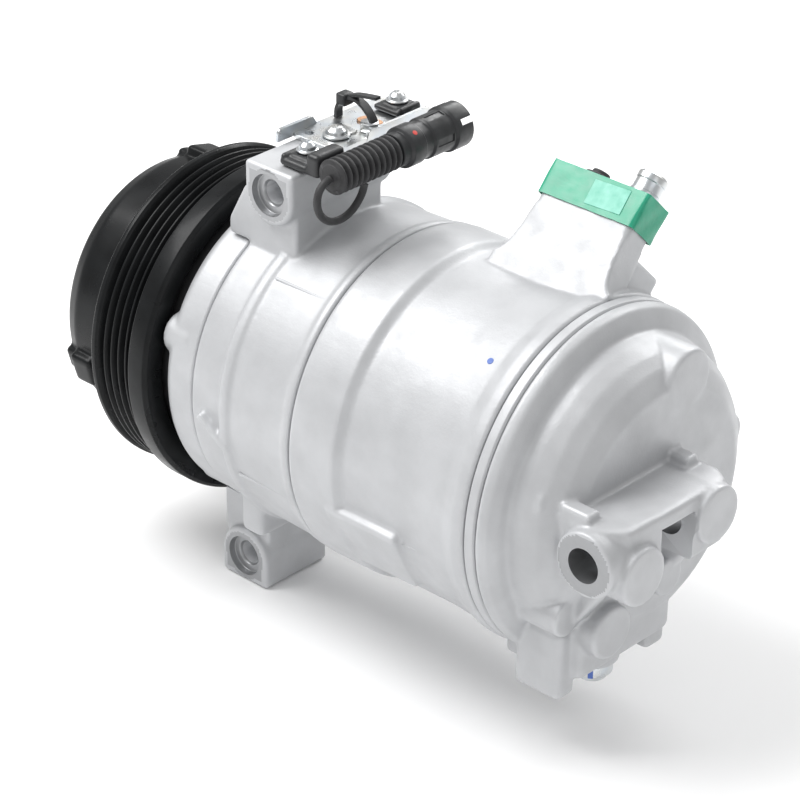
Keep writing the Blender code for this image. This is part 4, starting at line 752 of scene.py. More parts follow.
def add_front_head():
    """The front head between the pulley and the front body."""
    corners = [(SEAM_FRONT - SEAM_GAP, 57.3, 0.5), (8.0, 57.4, 0.5), (6.4, 56.6, 1.2),
               (4.1, 54.6, 1.0), (4.1, 27.0), (-0.4, 27.0, 0.5), (-0.4, 17.5),
               (PULLEY_FRONT + 3.0, 17.5, 0.8), (PULLEY_FRONT + 3.0, 10.4, 0.8), (-3.0, 10.4),
               (-3.0, 15.8), (SEAM_FRONT - SEAM_GAP, 15.8), (SEAM_FRONT - SEAM_GAP, 20.0),
               (9.0, 20.0), (9.0, 43.0), (SEAM_FRONT - SEAM_GAP, 43.0)]
    forms = [lathe(corners, 3)]
    for angle in bolt_places():
        forms.append(axial_rod(BOSS_FRONT, 14.5, 7.9, 50.0, angle, 1.6))
    head = blended(forms)
    tools = [axial_rod(-6.0, 30.0, BOLT_HOLE, BOLT_CIRCLE, angle, 0.0, 24)
             for angle in bolt_places()]
    tools += [axial_rod(-6.0, 7.0, 5.6, BOLT_CIRCLE, angle, 0.0, 24) for angle in bolt_places()]
    piece = place("front_head_casting", carved(head, tools), cast_metal())
    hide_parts("front_head")


def lug_outline(top, up):
    """A lug seen along its bore: round toward the body and flat on the outer side."""
    sign = 1.0 if up else -1.0
    points = []
    for k in range(17):
        angle = math.radians(180.0 + 180.0 * k / 16.0)
        points.append((LUG_HALF_WIDTH * math.cos(angle), sign * LUG_HALF_WIDTH * math.sin(angle)))
    return points + [(LUG_HALF_WIDTH, sign * top), (-LUG_HALF_WIDTH, sign * top)]


def lug(x, z, length, up):
    outline = [(x + a, z + b) for a, b in lug_outline(LUG_TOP - LUG_HEIGHT, up)]
    return slab(outline, LUG_NEAR_FACE, LUG_NEAR_FACE + length, "Y", 1.0, 2)


def seam_line(x0, x1, angle, radius, width=0.55):
    """A casting's raised parting line along X."""
    return axial_rod(x0, x1, width, radius - 0.25, math.radians(angle), 0.3, 10)


def add_front_body():
    """The front half of the body, with both front lugs."""
    bead = SEAM_FRONT + 15.0
    corners = [(SEAM_FRONT + 0.1, 57.2, 0.4), (SEAM_FRONT + 1.2, 58.1, 0.6),
               (bead - 0.5, 58.1, 1.2), (bead + 1.2, 60.3, 1.0), (bead + 4.0, 60.3, 1.0),
               (bead + 5.6, 59.2, 1.5), (SEAM_MIDDLE - 4.6, 60.0, 1.5),
               (SEAM_MIDDLE - 3.0, 61.0, 0.8), (SEAM_MIDDLE - 0.9, 61.0, 0.5),
               (SEAM_MIDDLE - SEAM_GAP, 60.2, 0.3), (SEAM_MIDDLE - SEAM_GAP, 50.0),
               (SEAM_FRONT + 0.1, 50.0)]
    forms = [lathe(corners, 4), lug(UPPER_LUG, LUG_HEIGHT, UPPER_LUG_LENGTH, True),
             lug(LOWER_LUG, -LUG_HEIGHT, LOWER_LUG_LENGTH, False)]
    room = revolve(rod(-20.0, SEAM_FRONT + 0.5, 58.8, 0.0))
    upper_web = slab([(9.5, 46.0), (42.0, 46.0), (42.0, 68.0), (22.3, 76.0), (17.0, 71.0),
                      (9.5, 57.0)], -29.0, 13.5, "Y", 1.2, 2)
    lower_web = slab([(5.2, -44.0), (27.5, -44.0), (27.8, -72.0), (7.0, -72.0), (5.2, -66.0)],
                     -30.0, -4.5, "Y", 1.5, 2)
    step_pad = block((24.0, -40.0, -57.0), (34.5, -16.0, -40.0), 2.0)
    forms += [carved(upper_web, [room.copy()], solver="EXACT"),
              carved(lower_web, [room], solver="EXACT"), step_pad]
    forms.append(moved(block((-8.0, -2.0, -1.5), (8.0, 1.5, 1.5), 0.7, 2),
                       about("X", 186.5) @ shift(bead - 2.6, 59.4, 0.0)
                       @ about("Y", -38.0)))
    body = blended(forms)
    lines = [seam_line(bead + 6.0, SEAM_MIDDLE - 5.0, 128.0, 59.7),
             seam_line(bead + 6.0, SEAM_MIDDLE - 5.0, 201.0, 59.7)]
    tools = [revolve(rod(SEAM_FRONT - 20.0, SEAM_MIDDLE + 5.0, BODY_BORE, 0.0)),
             block((-2.0, -36.0, 60.0), (70.0, LUG_NEAR_FACE, 90.0), 0.0),
             block((-2.0, -36.0, -88.0), (33.0, LUG_NEAR_FACE, -60.0), 0.0)]
    for x, z, length in ((UPPER_LUG, LUG_HEIGHT, UPPER_LUG_LENGTH),
                         (LOWER_LUG, -LUG_HEIGHT, LOWER_LUG_LENGTH)):
        spot = toward("+Y", x, LUG_NEAR_FACE - 3.0, z)
        tools.append(bar(0.0, length + 8.0, LUG_BORE, 0.0, 48, spot))
        sink = rounded([(0.0, 0.0), (0.0, 9.0), (3.0, 7.6), (5.6, 7.3, 0.4), (5.6, 4.9, 0.3),
                        (6.6, 4.2), (6.6, 0.0)], 3)
        tools.append(moved(revolve(sink, 48), spot))
    for x, y in ((UPPER_LUG + 7.0, -21.0), (UPPER_LUG + 1.0, -1.0)):
        tools.append(bar(0.0, 14.0, SCREW_HOLE, 0.0, 24, toward("+Z", x, y, LUG_TOP - 9.0)))
    piece = place("front_body_casting", carved(body, tools, lines),
                  [cast_metal(), machined_metal()])
    faces = ((UPPER_LUG, LUG_HEIGHT), (LOWER_LUG, -LUG_HEIGHT))
    assign_faces(piece, 1, lambda c, n: c.y < LUG_NEAR_FACE + 6.6 and any(
        math.hypot(c.x - x, c.z - z) < LUG_SEAT for x, z in faces))
    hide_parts("front_body")


def flare(half_width, spread, top):
    """A block's side view whose foot widens in an arc down to the body."""
    arc = [math.radians(90.0 * k / 8.0) for k in range(9)]
    right = [(half_width + spread * (1.0 - math.cos(a)), top - 20.0 * math.sin(a)) for a in arc]
    left = [(-x, z) for x, z in reversed(right)]
    return right + [(right[-1][0], 30.0), (left[0][0], 30.0)] + left


def add_rear_body():
    """The rear half of the body, with the port block."""
    bead = SEAM_MIDDLE + 22.0
    corners = [(SEAM_MIDDLE + 0.1, 50.0), (SEAM_MIDDLE + 0.1, 60.4, 0.4),
               (SEAM_MIDDLE + 1.2, 61.4, 0.8), (bead - 1.5, 61.4, 1.2), (bead + 1.6, 59.0, 1.6),
               (SEAM_REAR - 26.0, 58.8, 4.0), (SEAM_REAR - 10.0, 59.9, 4.0),
               (SEAM_REAR - 4.6, 61.6, 1.2), (SEAM_REAR - 0.8, 61.6, 0.5),
               (SEAM_REAR - 0.25, 61.0, 0.3), (SEAM_REAR - 0.25, 50.0)]
    forms = [lathe(corners, 4)]
    forms.append(moved(block((-19.7, -7.0, 30.0), (19.7, 7.0, PORT_REACH), 2.6, 4),
                       port_frame()))
    forms.append(moved(slab(flare(19.5, 5.5, 70.0), -6.9, 6.9, "Y", 1.0, 2),
                       port_frame()))
    forms.append(moved(block((-9.0, -8.5, 30.0), (9.0, 8.5, 67.0), 1.6, 3),
                       port_frame(10.5, 15.0)))
    forms.append(moved(block((-16.0, -11.0, -9.0), (16.0, 16.5, 1.0), 1.6, 3),
                       shift(SEAM_MIDDLE + 32.0) @ about("X", 118.0)
                       @ shift(0.0, 0.0, BODY_RADIUS)))
    forms.append(block((SEAM_REAR - 12.0, -25.0, -64.5), (SEAM_REAR - 1.0, -17.0, -51.0), 1.4, 3))
    forms.append(moved(block((-26.0, -3.0, -3.0), (26.0, 3.0, 0.3), 1.2, 2),
                       shift(SEAM_MIDDLE + 46.0) @ about("X", 150.0)
                       @ shift(0.0, 0.0, BODY_RADIUS)))
    body = blended(forms)
    lines = [seam_line(SEAM_MIDDLE + 30.0, SEAM_REAR - 14.0, 196.0, 58.9)]
    tools = [revolve(rod(SEAM_MIDDLE - 5.0, SEAM_REAR + 5.0, BODY_BORE, 0.0)),
             moved(block((-30.0, -9.0, PORT_REACH - 0.4), (30.0, 9.0, PORT_REACH + 6.0), 0.0),
                   port_frame()),
             bar(0.0, 42.0, 5.0, 0.0, 40, port_frame(PORT_BORE, 0.0, PORT_REACH - 32.0)
                   @ about("Y", -90.0)),
             bar(0.0, 42.0, 3.3, 0.0, 32, port_frame(PORT_STUD, 0.0, PORT_REACH - 32.0)
                   @ about("Y", -90.0))]
    piece = place("rear_body_casting", carved(body, tools, lines), [cast_metal(), machined_metal()])
    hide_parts("rear_body")
    rim = rounded([(SEAM_REAR + 0.1, 30.0), (SEAM_REAR + 0.1, 60.4, 0.4),
                   (SEAM_REAR + 0.6, 61.2, 0.5), (PLATE_REAR - 0.5, 61.2, 0.5),
                   (PLATE_REAR, 60.4, 0.4), (PLATE_REAR, 30.0)], 3)
    plate = place("valve_plate_rim", revolve(rim), cast_metal())
    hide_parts("rear_valve_plate")


def add_rear_head():
    """The rear head with its bosses, feet and mounting bracket."""
    start = PLATE_REAR + 0.3
    shoulder = BODY_RADIUS - 6.0
    corners = [(REAR_FACE, 0.0), (REAR_FACE, 40.6, 0.8), (REAR_FACE - 1.0, 42.5, 1.0),
               (REAR_FACE - 4.0, 47.0, 3.0), (REAR_FACE - 8.5, 50.5, 4.0),
               (REAR_FACE - 14.0, 52.7, 3.0), (start + 7.4, shoulder, 1.5),
               (start + 6.2, 57.2, 1.2), (start + 4.2, 60.4, 1.5), (start + 1.0, 61.3, 0.8),
               (start, 60.6, 0.4), (start, 0.0)]
    forms = [lathe(corners, 5)]
    for degrees, inset, radius, reach in ((9.3, 11.0, 7.4, -4.4), (72.0, 10.6, 10.6, 0.2),
                                          (161.0, 9.6, 8.0, -8.6), (234.0, 9.1, 9.5, 4.6),
                                          (304.0, 13.0, 8.0, -8.0)):
        forms.append(axial_rod(start + 3.0, REAR_FACE + reach, radius, shoulder - inset,
                               math.radians(degrees), 1.4))
    rear = BRACKET_REAR - 2.6
    slab_top = [(REAR_FACE - 5.0, -45.0), (REAR_FACE + 3.0, -46.0), (rear - 9.0, -47.0),
                (rear - 1.0, -40.0), (rear, -20.0), (rear, 8.0), (rear - 6.0, 12.0),
                (REAR_FACE - 5.0, 12.0)]
    forms.append(slab(slab_top, -9.0, 14.8, "Z", 1.8, 2))
    forms.append(bar(0.0, 22.0, 11.5, 1.2, 64, toward("+Y", BRACKET_BORE_X, -49.9, BRACKET_BORE_Z)))
    forms.append(bar(0.0, 16.0, 10.2, 1.0, 64, toward("+X", rear - 13.4, -35.5, -2.0)))
    forms.append(bar(0.0, 16.0, 10.2, 1.0, 64, toward("+X", rear - 13.4, 1.5, 4.8)))
    for y in (-45.5, 3.8):
        forms.append(block((REAR_FACE - 4.0, y, 0.0), (BRACKET_BORE_X - 2.0, y + 6.0, 18.0), 0.9))
    for y, z, end, radius in ((-40.5, -26.8, REAR_FACE - 2.6, 6.6),
                              (2.0, -27.0, REAR_FACE + 4.6, 7.0)):
        forms.append(bar(start + 3.0, end, radius, 0.8, SMALL_TURNS, shift(0.0, y, z)))
    forms.append(slab([(REAR_FACE - 4.0, -8.0), (rear - 8.0, -8.0), (REAR_FACE - 2.0, -30.0),
                       (REAR_FACE - 6.0, -30.0)], -38.0, -32.0, "Y", 1.2))
    forms.append(slab([(REAR_FACE - 4.0, -8.0), (rear - 6.0, -8.0), (REAR_FACE - 2.0, -34.0),
                       (REAR_FACE - 6.0, -34.0)], 2.0, 9.0, "Y", 1.2))
    foot = start + 3.0
    forms += [block((foot - 1.5, -42.0, -60.0), (foot + 18.0, -33.0, -34.0), 2.2),
              block((foot + 9.0, 3.0, -61.0), (foot + 18.5, 13.0, -40.0), 2.2),
              block((foot + 2.0, -36.0, -54.0), (REAR_FACE - 1.0, 12.0, -30.0), 3.5),
              bar(0.0, 12.0, 9.0, 1.0, 48, toward("+Z", foot + 8.5, VALVE_Y, -59.4))]
    head = blended(forms)
    tools = [revolve(rod(start - 5.0, REAR_FACE - 8.0, 43.5, 0.0)),
             bar(0.0, 70.0, BRACKET_BORE, 0.0, 64,
                 toward("+Y", BRACKET_BORE_X, -54.0, BRACKET_BORE_Z)),
             block((REAR_FACE + 4.0, -54.0, -12.0), (rear + 3.0, -50.0, 18.0), 0.0),
             slab([(BRACKET_BORE_X - 2.5, -14.0), (rear + 5.0, -14.0), (rear + 5.0, 9.6),
                   (BRACKET_BORE_X - 2.5, 9.6)], -24.5, -8.4, "Y"),
             bar(0.0, 14.0, 5.3, 0.0, 40, toward("+Z", foot + 8.5, VALVE_Y, -64.0))]
    for angle in bolt_places():
        tools.append(axial_rod(start - 5.0, start + 9.5, BOLT_HOLE, BOLT_CIRCLE, angle, 0.0, 24))
    piece = place("rear_head_casting", carved(head, tools), [cast_metal(), machined_metal()])
    assign_faces(piece, 1, lambda c, n: math.hypot(c.x - BRACKET_BORE_X, c.z - BRACKET_BORE_Z) < 6.4
                 or (n.y < -0.97 and c.y < -49.0 and c.x > REAR_FACE - 2.0
                     and math.hypot(c.x - BRACKET_BORE_X, c.z - BRACKET_BORE_Z) < 11.0))
    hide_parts("rear_head")
    valve = [(0.0, 0.0), (0.0, 3.4, 0.5), (1.2, 5.2, 0.6), (3.2, 5.2, 0.4), (3.2, 7.0, 0.6),
             (7.6, 7.0, 0.6), (7.6, 4.9), (16.0, 4.9), (16.0, 0.0)]
    spot = toward("+Z", foot + 8.5, VALVE_Y, -67.4)
    piece = place("relief_valve_body", moved(lathe(valve, 3, 48), spot), zinc_plate())
    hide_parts("relief_valve")
    stripe = block((3.4, 6.7, -0.9), (7.4, 7.25, 0.9), 0.2, 1)
    band = place("relief_valve_stripe", moved(stripe, spot @ about("X", -145.0)),
                 blue_mark())


def add_ports():
    """Sealing tape, cap and stud on the port block."""
    outline = []
    wall = 0.8
    half = (20.3, 7.6)
    for side, (cx, cy) in enumerate(((1, -1), (1, 1), (-1, 1), (-1, -1))):
        for k in range(6):
            angle = math.radians(-90.0 + 90.0 * side + 18.0 * k)
            outline.append((cx * (half[0] - 1.4) + 1.4 * math.cos(angle),
                            cy * (half[1] - 1.4) + 1.4 * math.sin(angle)))
    rng = random.Random(7)
    shape = bmesh.new()
    levels = 9
    low, high = PORT_REACH - 12.5, PORT_REACH + 0.1
    dense = []
    for index, point in enumerate(outline):
        other = outline[(index + 1) % len(outline)]
        gap = math.dist(point, other)
        steps = max(1, int(gap / 1.2))
        dense += [(point[0] + (other[0] - point[0]) * s / steps,
                   point[1] + (other[1] - point[1]) * s / steps) for s in range(steps)]
    waves = [rng.uniform(-1.0, 1.0) for _ in dense]
    rings = []
    for level in range(levels):
        t = level / (levels - 1)
        for_level = []
        for index, (a, b) in enumerate(dense):
            wobble = 0.16 * (waves[index] + waves[index - 1] + waves[index - 2]) / 3.0
            edge = wobble * (1.0 if level in (0, levels - 1) else 0.25)
            press = 1.0 + 0.006 * math.sin(index * 0.9 + t * 5.0)
            z = low + (high - low) * t - (edge if level else -abs(edge))
            z = min(z, high)
            for_level.append(shape.verts.new(Vector((a * press, b * press, z)) * MM))
        rings.append(for_level)
    skin(shape, rings)
    mesh = bpy.data.meshes.new("tape")
    bmesh.ops.recalc_face_normals(shape, faces=shape.faces)
    shape.to_mesh(mesh)
    shape.free()
    mesh = modified(mesh, [("SOLIDIFY", {"thickness": 0.45 * MM, "offset": 0.0})])
    tape = place("sealing_tape", moved(mesh, port_frame()), green_tape(), "root", 50.0)
    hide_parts("port_tape")
    patch = block((0.0, -0.14, 0.0), (15.0, 0.14, 9.0), 0.1, 1)
    where = port_frame() @ shift(-1.0, 7.92, PORT_REACH - 10.8) @ about("Y", -2.0)
    overlap = place("tape_overlap", moved(patch, where), pale_patch())
    turn = about("Y", -90.0)
    cap_outline = rounded([(-9.0, 0.0), (-9.0, 4.6, 0.4), (0.3, 4.6), (0.3, 5.2, 0.4),
                           (1.4, 5.2, 0.5), (1.6, 3.4, 0.4), (3.1, 3.1, 0.6), (3.1, 0.0)], 3)
    cap = place("suction_cap", moved(revolve(cap_outline, 48),
                                     port_frame(PORT_BORE, 0.0, PORT_REACH) @ turn), black_rubber())
    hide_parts("port_cap")
    stud_outline = [(-16.0, 0.0), (-16.0, 2.9, 0.4), (0.3, 2.9), (0.3, 5.5, 0.3), (1.6, 5.5, 0.3),
                    (1.9, 5.2, 0.2), (5.2, 5.2, 0.2), (5.5, 5.5, 0.3), (7.6, 5.5, 0.6),
                    (8.5, 4.6, 0.5), (8.5, 3.4, 0.4), (5.0, 3.1, 0.4), (5.0, 0.0)]
    stud = place("port_stud_sleeve", moved(lathe(stud_outline, 3, 64),
                                           port_frame(PORT_STUD, 0.0, PORT_REACH) @ turn),
                 zinc_plate())
    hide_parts("port_stud")


def dome_screw(name, node, at, seat, radius, shank):
    """A dome-headed screw with a flange and a driver recess."""
    outline = rounded([(-shank, 0.0), (-shank, 1.9, 0.4), (0.3, 1.9), (0.3, radius, 0.2),
                       (0.9, radius, 0.3), (1.1, radius * 0.8, 0.2), (2.3, radius * 0.72, 0.6),
                       (3.5, radius * 0.42, 0.8), (3.7, 0.0)], 4)
    recess = revolve(rounded([(2.6, 0.0), (2.6, 0.5), (3.9, 1.1), (3.9, 0.0)], 2), 6)
    head = moved(carved(revolve(outline, 48), [recess], solver="EXACT"), toward("+Z", *at, seat))
    piece = place(name, head, zinc_plate())
    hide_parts(node)


def clip_shell(name, forms, hole):
    """A small moulded clip with its screw hole."""
    shell = carved(blended(forms, CLIP_VOXEL, 3), [bar(-9.0, 12.0, SCREW_HOLE, 0.0, 32, hole)])
    return place(name, shell, black_plastic())


def add_bracket():
    """Sheet bracket, clips, screws, terminal and cable tie."""
    x = BRACKET_SCREW[0]
    outline = rounded([(x - 13.0, -10.0, 3.0), (x + 9.0, -10.0, 3.0), (x + 9.0, 12.0, 4.0),
                       (x + 7.0, 20.0, 4.0), (x + 9.0, 28.0, 3.0), (x + 9.0, 38.0, 3.0),
                       (x - 9.0, 38.0, 3.0), (x - 13.0, 26.0, 6.0)], 5)
    plate = slab(outline, SHEET_LOW, SHEET_HIGH, "Z", 0.3, 1)
    ear = slab(rounded([(-17.0, 84.5), (3.0, 84.5), (0.0, 89.2, 2.0), (-16.5, 89.2, 2.0)], 4),
               x - 13.5, x - 12.1, "X", 0.25, 1)
    lip = slab(rounded([(4.0, 84.5), (36.5, 84.5), (35.5, 88.2, 1.6), (5.5, 88.2, 1.6)], 4),
               x + 7.7, x + 9.1, "X", 0.25, 1)
    stiffener = slab(rounded([(x - 6.0, 3.0, 1.4), (x + 4.0, 3.0, 1.4), (x + 3.0, 6.4, 1.4),
                              (x - 5.0, 6.4, 1.4)], 4), SHEET_HIGH - 0.5, SHEET_HIGH + 0.7, "Z",
                     0.3, 1)
    holes = [bar(-5.0, 10.0, SCREW_HOLE, 0.0, 32, toward("+Z", *spot, SHEET_LOW))
             for spot in (BRACKET_SCREW, RIGHT_SCREW)]
    holes.append(bar(-5.0, 10.0, 1.6, 0.0, 32, toward("+Z", x - 8.0, -6.0, SHEET_LOW)))
    piece = place("bracket_plate", carved(plate, holes, [ear, lip, stiffener], solver="EXACT"),
                  zinc_plate(), "root", 30.0)
    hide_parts("sensor_bracket")
    left = [block((34.0, -29.0, SHEET_LOW), (52.4, -15.0, 87.4), 1.6),
            block((36.5, -26.5, 86.0), (46.0, -16.5, 88.6), 1.2),
            block((46.5, -29.0, 85.0), (52.5, -15.5, 92.6), 1.6),
            block((34.3, -28.4, SHEET_LOW), (36.6, -16.0, 88.5), 0.9)]
    clip = clip_shell("left_clip_shell", left, toward("+Z", *LEFT_SCREW, LUG_TOP))
    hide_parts("left_clip")
    right_low = SHEET_HIGH + 0.3
    right = [block((28.0, 23.0, right_low), (40.0, 35.0, right_low + 2.2), 1.0),
             block((30.0, 25.0, right_low), (38.5, 33.0, right_low + 3.0), 0.8),
             block((38.0, 24.0, right_low), (40.1, 34.5, right_low + 3.0), 0.7)]
    clip = clip_shell("right_clip_shell", right, toward("+Z", *RIGHT_SCREW, SHEET_HIGH))
    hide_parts("right_clip")
    dome_screw("left_clip_dome", "left_clip_screw", LEFT_SCREW, 88.7, 3.9, 11.0)
    dome_screw("bracket_dome", "bracket_screw", BRACKET_SCREW, SHEET_HIGH, 4.8, 9.5)
    dome_screw("right_clip_dome", "right_clip_screw", RIGHT_SCREW, right_low + 3.0, 3.9, 7.5)
    nut = slab(hexagon(3.6, 10.0, 39.0, 10.0), SHEET_HIGH + 0.1, SHEET_HIGH + 3.2, "Z", 0.4, 2)
    nut = place("terminal_nut", nut, zinc_plate())
    ring_outline = rounded([(30.0, 12.0, 1.5), (39.0, 12.5, 2.0), (39.5, 17.5, 2.5),
                            (30.5, 16.5, 1.5)], 5)
    terminal = slab(ring_outline, SHEET_HIGH + 0.1, SHEET_HIGH + 0.9, "Z", 0.2, 1)
    terminal = place("ground_terminal", terminal, copper_terminal())
    add_tie()


def strap(path, y, width, thickness, name):
    """A flat strap that follows (x, z) points at one y, its width along Y."""
    shape = bmesh.new()
    rows = []
    for index, spot in enumerate(path):
        after, before = path[min(index + 1, len(path) - 1)], path[max(index - 1, 0)]
        ahead = (Vector(after) - Vector(before)).normalized()
        side = Vector((-ahead.y, ahead.x)) * thickness / 2.0
        rows.append([shape.verts.new(Vector((spot[0] + s * side.x, y + w * width / 2.0,
                                             spot[1] + s * side.y)) * MM)
                     for w, s in ((-1, -1), (1, -1), (1, 1), (-1, 1))])
    skin(shape, rows)
    shape.faces.new(rows[0])
    shape.faces.new(rows[-1])
    return mesh_from(shape, name)


def through(points, per_span=5):
    """Catmull-Rom points through a route."""
    route = [Vector(p) for p in points]
    ends = [2.0 * route[0] - route[1]] + route + [2.0 * route[-1] - route[-2]]
    result = []
    for k in range(1, len(ends) - 2):
        a, b, c, d = ends[k - 1:k + 3]
        for step in range(per_span):
            t = step / per_span
            result.append(0.5 * (2.0 * b + (c - a) * t + (2.0 * a - 5.0 * b + 4.0 * c - d) * t ** 2
                                 + (3.0 * b - a - 3.0 * c + d) * t ** 3))
    result.append(route[-1])
    return result


def add_tie():
    """The cable tie's arch, head and tail over the sensor bracket."""
    y = 10.5
    foot = SHEET_HIGH + 0.2
    arch = strap(through(((23.6, foot), (24.0, foot + 4.0), (26.6, foot + 7.6), (31.0, foot + 9.2),
                          (35.6, foot + 8.0), (39.6, foot + 4.4), (41.4, foot))), y, 3.2, 1.1,
                 "arch")
    tail = strap(through(((27.5, foot + 8.6), (32.0, foot + 10.6), (37.0, foot + 11.6),
                          (42.4, foot + 12.4))), y, 2.6, 1.0, "tail")
    head = block((24.6, y - 2.6, foot + 5.6), (29.0, y + 2.6, foot + 10.0), 0.8, 3)
    piece = place("tie_strap", joined([arch, tail, head], "tie"), black_plastic())
    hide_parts("cable_tie")


def add_connector():
    """Corrugated boot and the plug connector."""
    corners = [(BOOT_START, 0.0), (BOOT_START, 4.4, 0.5)]
    pitch = (-1.0 - BOOT_START) / BOOT_FOLDS
    for k in range(BOOT_FOLDS):
        left = BOOT_START + k * pitch
        corners += [(left + 0.12 * pitch, 4.7, 0.3), (left + 0.3 * pitch, 6.2, 0.4),
                    (left + 0.6 * pitch, 6.2, 0.4), (left + 0.8 * pitch, 4.7, 0.3)]
    corners += [(-1.0, 5.1), (-1.0, 0.0)]
    place_boot = toward("+Y", BOOT_X, 0.0, BOOT_Z)
    boot = place("boot_bellows", moved(lathe(corners, 3, 64), place_boot), black_rubber(), "root",
                 70.0)
    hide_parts("corrugated_boot")
    mouth = CONNECTOR_MOUTH
    corners = [(-0.7, 0.0), (-0.7, 6.0, 0.4), (2.6, 6.0, 0.3), (3.2, 7.3, 0.5), (9.0, 7.3, 0.4),
               (9.6, 6.6, 0.4), (13.0, 6.6, 0.4), (13.6, 7.3, 0.4), (mouth - 8.6, 7.3, 0.4),
               (mouth - 8.0, 8.2, 0.5), (mouth - 0.9, 8.2, 0.5), (mouth - 0.1, 7.4, 0.4),
               (mouth - 0.1, 5.8, 0.3), (mouth - 14.0, 5.8), (mouth - 14.0, 0.0)]
    shell = lathe(corners, 3, 72)
    cuts = []
    for degrees, start, end, width in ((-35.0, mouth - 6.0, mouth + 3.0, 1.1),
                                       (60.0, mouth - 7.5, mouth + 3.0, 1.6),
                                       (150.0, mouth - 6.0, mouth + 3.0, 1.1)):
        cuts.append(moved(block((start, 4.0, -width), (end, 12.0, width), 0.0),
                          about("X", degrees)))
    for degrees in (20.0, 100.0, 180.0, 260.0):
        cuts.append(moved(block((14.5, 6.9, -1.4), (mouth - 9.6, 10.0, 1.4), 0.0),
                          about("X", degrees)))
    shell = carved(shell, cuts, solver="EXACT")
    plug = place("connector_shell", moved(shell, place_boot), black_plastic())
    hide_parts("connector_body")
    for k, side in enumerate((-2.2, 2.2)):
        pin = block((mouth - 13.9, side - 0.4, -1.2), (mouth - 5.0, side + 0.4, 1.2), 0.25, 2)
        pin = place("connector_pin_%d" % (k + 1), moved(pin, place_boot), zinc_plate())
    seal = revolve(ring(mouth - 13.8, mouth - 11.6, 4.4, 5.7, 0.3), 48)
    seal = place("connector_seal", moved(seal, place_boot), red_seal())
    dot = place("connector_mark", bar(0.0, 0.35, 0.9, 0.1, 16,
                                      place_boot @ about("X", 35.0) @ toward("+Z", 6.0, 0.0, 7.0)),
                red_seal())


# The lead's route, in millimetres from the shaft frame's origin
LEAD_POINTS = ((59.5, -30.4, 87.8), (59.5, -33.2, 87.0), (59.4, -35.4, 84.8), (59.3, -36.2, 81.6),
               (59.2, -35.6, 78.0), (59.1, -33.6, 74.8), (59.0, -30.6, 72.4), (58.9, -27.0, 71.2),
               (58.9, -23.2, 71.2), (58.9, -19.6, 72.4), (59.0, -16.8, 74.6), (59.2, -14.8, 77.4),
               (59.4, -13.8, 80.6))


def add_lead():
    """The clutch lead's short free loop under the boot."""
    points = [Vector(p) * MM + SHAFT_ORIGIN for p in through(LEAD_POINTS, 4)]
    curve = bpy.data.curves.new("clutch_lead", "CURVE")
    curve.dimensions = "3D"
    curve.bevel_depth = sizes().lead_diameter / 2.0
    curve.bevel_resolution = 5
    curve.use_fill_caps = True
    spline = curve.splines.new("POLY")
    spline.points.add(len(points) - 1)
    for point, spot in zip(spline.points, points):
        point.co = (*spot, 1.0)
    spline.use_smooth = True
    curve.materials.append(black_rubber())
    lead = bpy.data.objects.new("clutch_lead", curve)
    bpy.context.scene.collection.objects.link(lead)
    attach(lead, "root")
    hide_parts("lead_loop")


def add_marks():
    """The paint dot on the rear body."""
    angle = math.radians(124.4)
    spot = Vector((134.0, 59.55 * math.cos(angle), 59.55 * math.sin(angle)))
    dot = revolve(rod(0.0, 0.25, 1.15, 0.08), 20)
    dot.transform(Matrix.Translation(spot * MM) @ Matrix.Rotation(angle, 4, "X") @ about("Z", 90.0))
    piece = place("paint_dot", dot, blue_mark())


def finish_inside():
    """Give the sealed pieces and the bearings their finishes."""
    by_slot = {"cast_aluminium": cast_metal, "black_paint": black_paint, "coil_black": coil_resin,
               "steel": ground_steel, "zinc": zinc_plate, "bronze": bearing_bronze,
               "black_plastic": black_plastic, "rubber": black_rubber, "green_tape": green_tape}
    for entry in frame["record"]["subparts"]:
        node = frame["nodes"][entry["node"]]
        node.data.materials.clear()
        node.data.materials.append(by_slot[entry["material_slot"]]())


# ---------------------------------------------------------------- studio
CAMERA_TARGET = (67.4, -4.4, -2.4)
CAMERA_DISTANCE = 1102.6
CAMERA_AZIMUTH = math.radians(42.97)
CAMERA_ELEVATION = math.radians(29.07)
CAMERA_ROLL = math.radians(0.42)
CAMERA_LENS = 143.71
WORLD_STRENGTH = 0.55
# Each light's name, place, aim and size in metres, and its power in watts
LIGHTS = (("key_softbox", (-0.6, -0.45, 1.25), (0.0, 0.0, 0.06), (0.9, 0.9), 19.5),
          ("side_softbox", (1.2, -0.5, 0.7), (0.0, 0.0, 0.08), (0.6, 0.9), 1.2),
          ("rim_strip", (-0.2, 0.9, 0.8), (0.0, 0.0, 0.1), (1.0, 0.25), 8.0))


def add_light(name, spot, target, size, power):
    lamp = bpy.data.lights.new(name, "AREA")
    lamp.shape = "RECTANGLE"
    lamp.size, lamp.size_y = size
    lamp.energy = power
    item = bpy.data.objects.new(name, lamp)
    bpy.context.scene.collection.objects.link(item)
    item.location = spot
    item.rotation_euler = (Vector(target) - Vector(spot)).to_track_quat("-Z", "Y").to_euler()


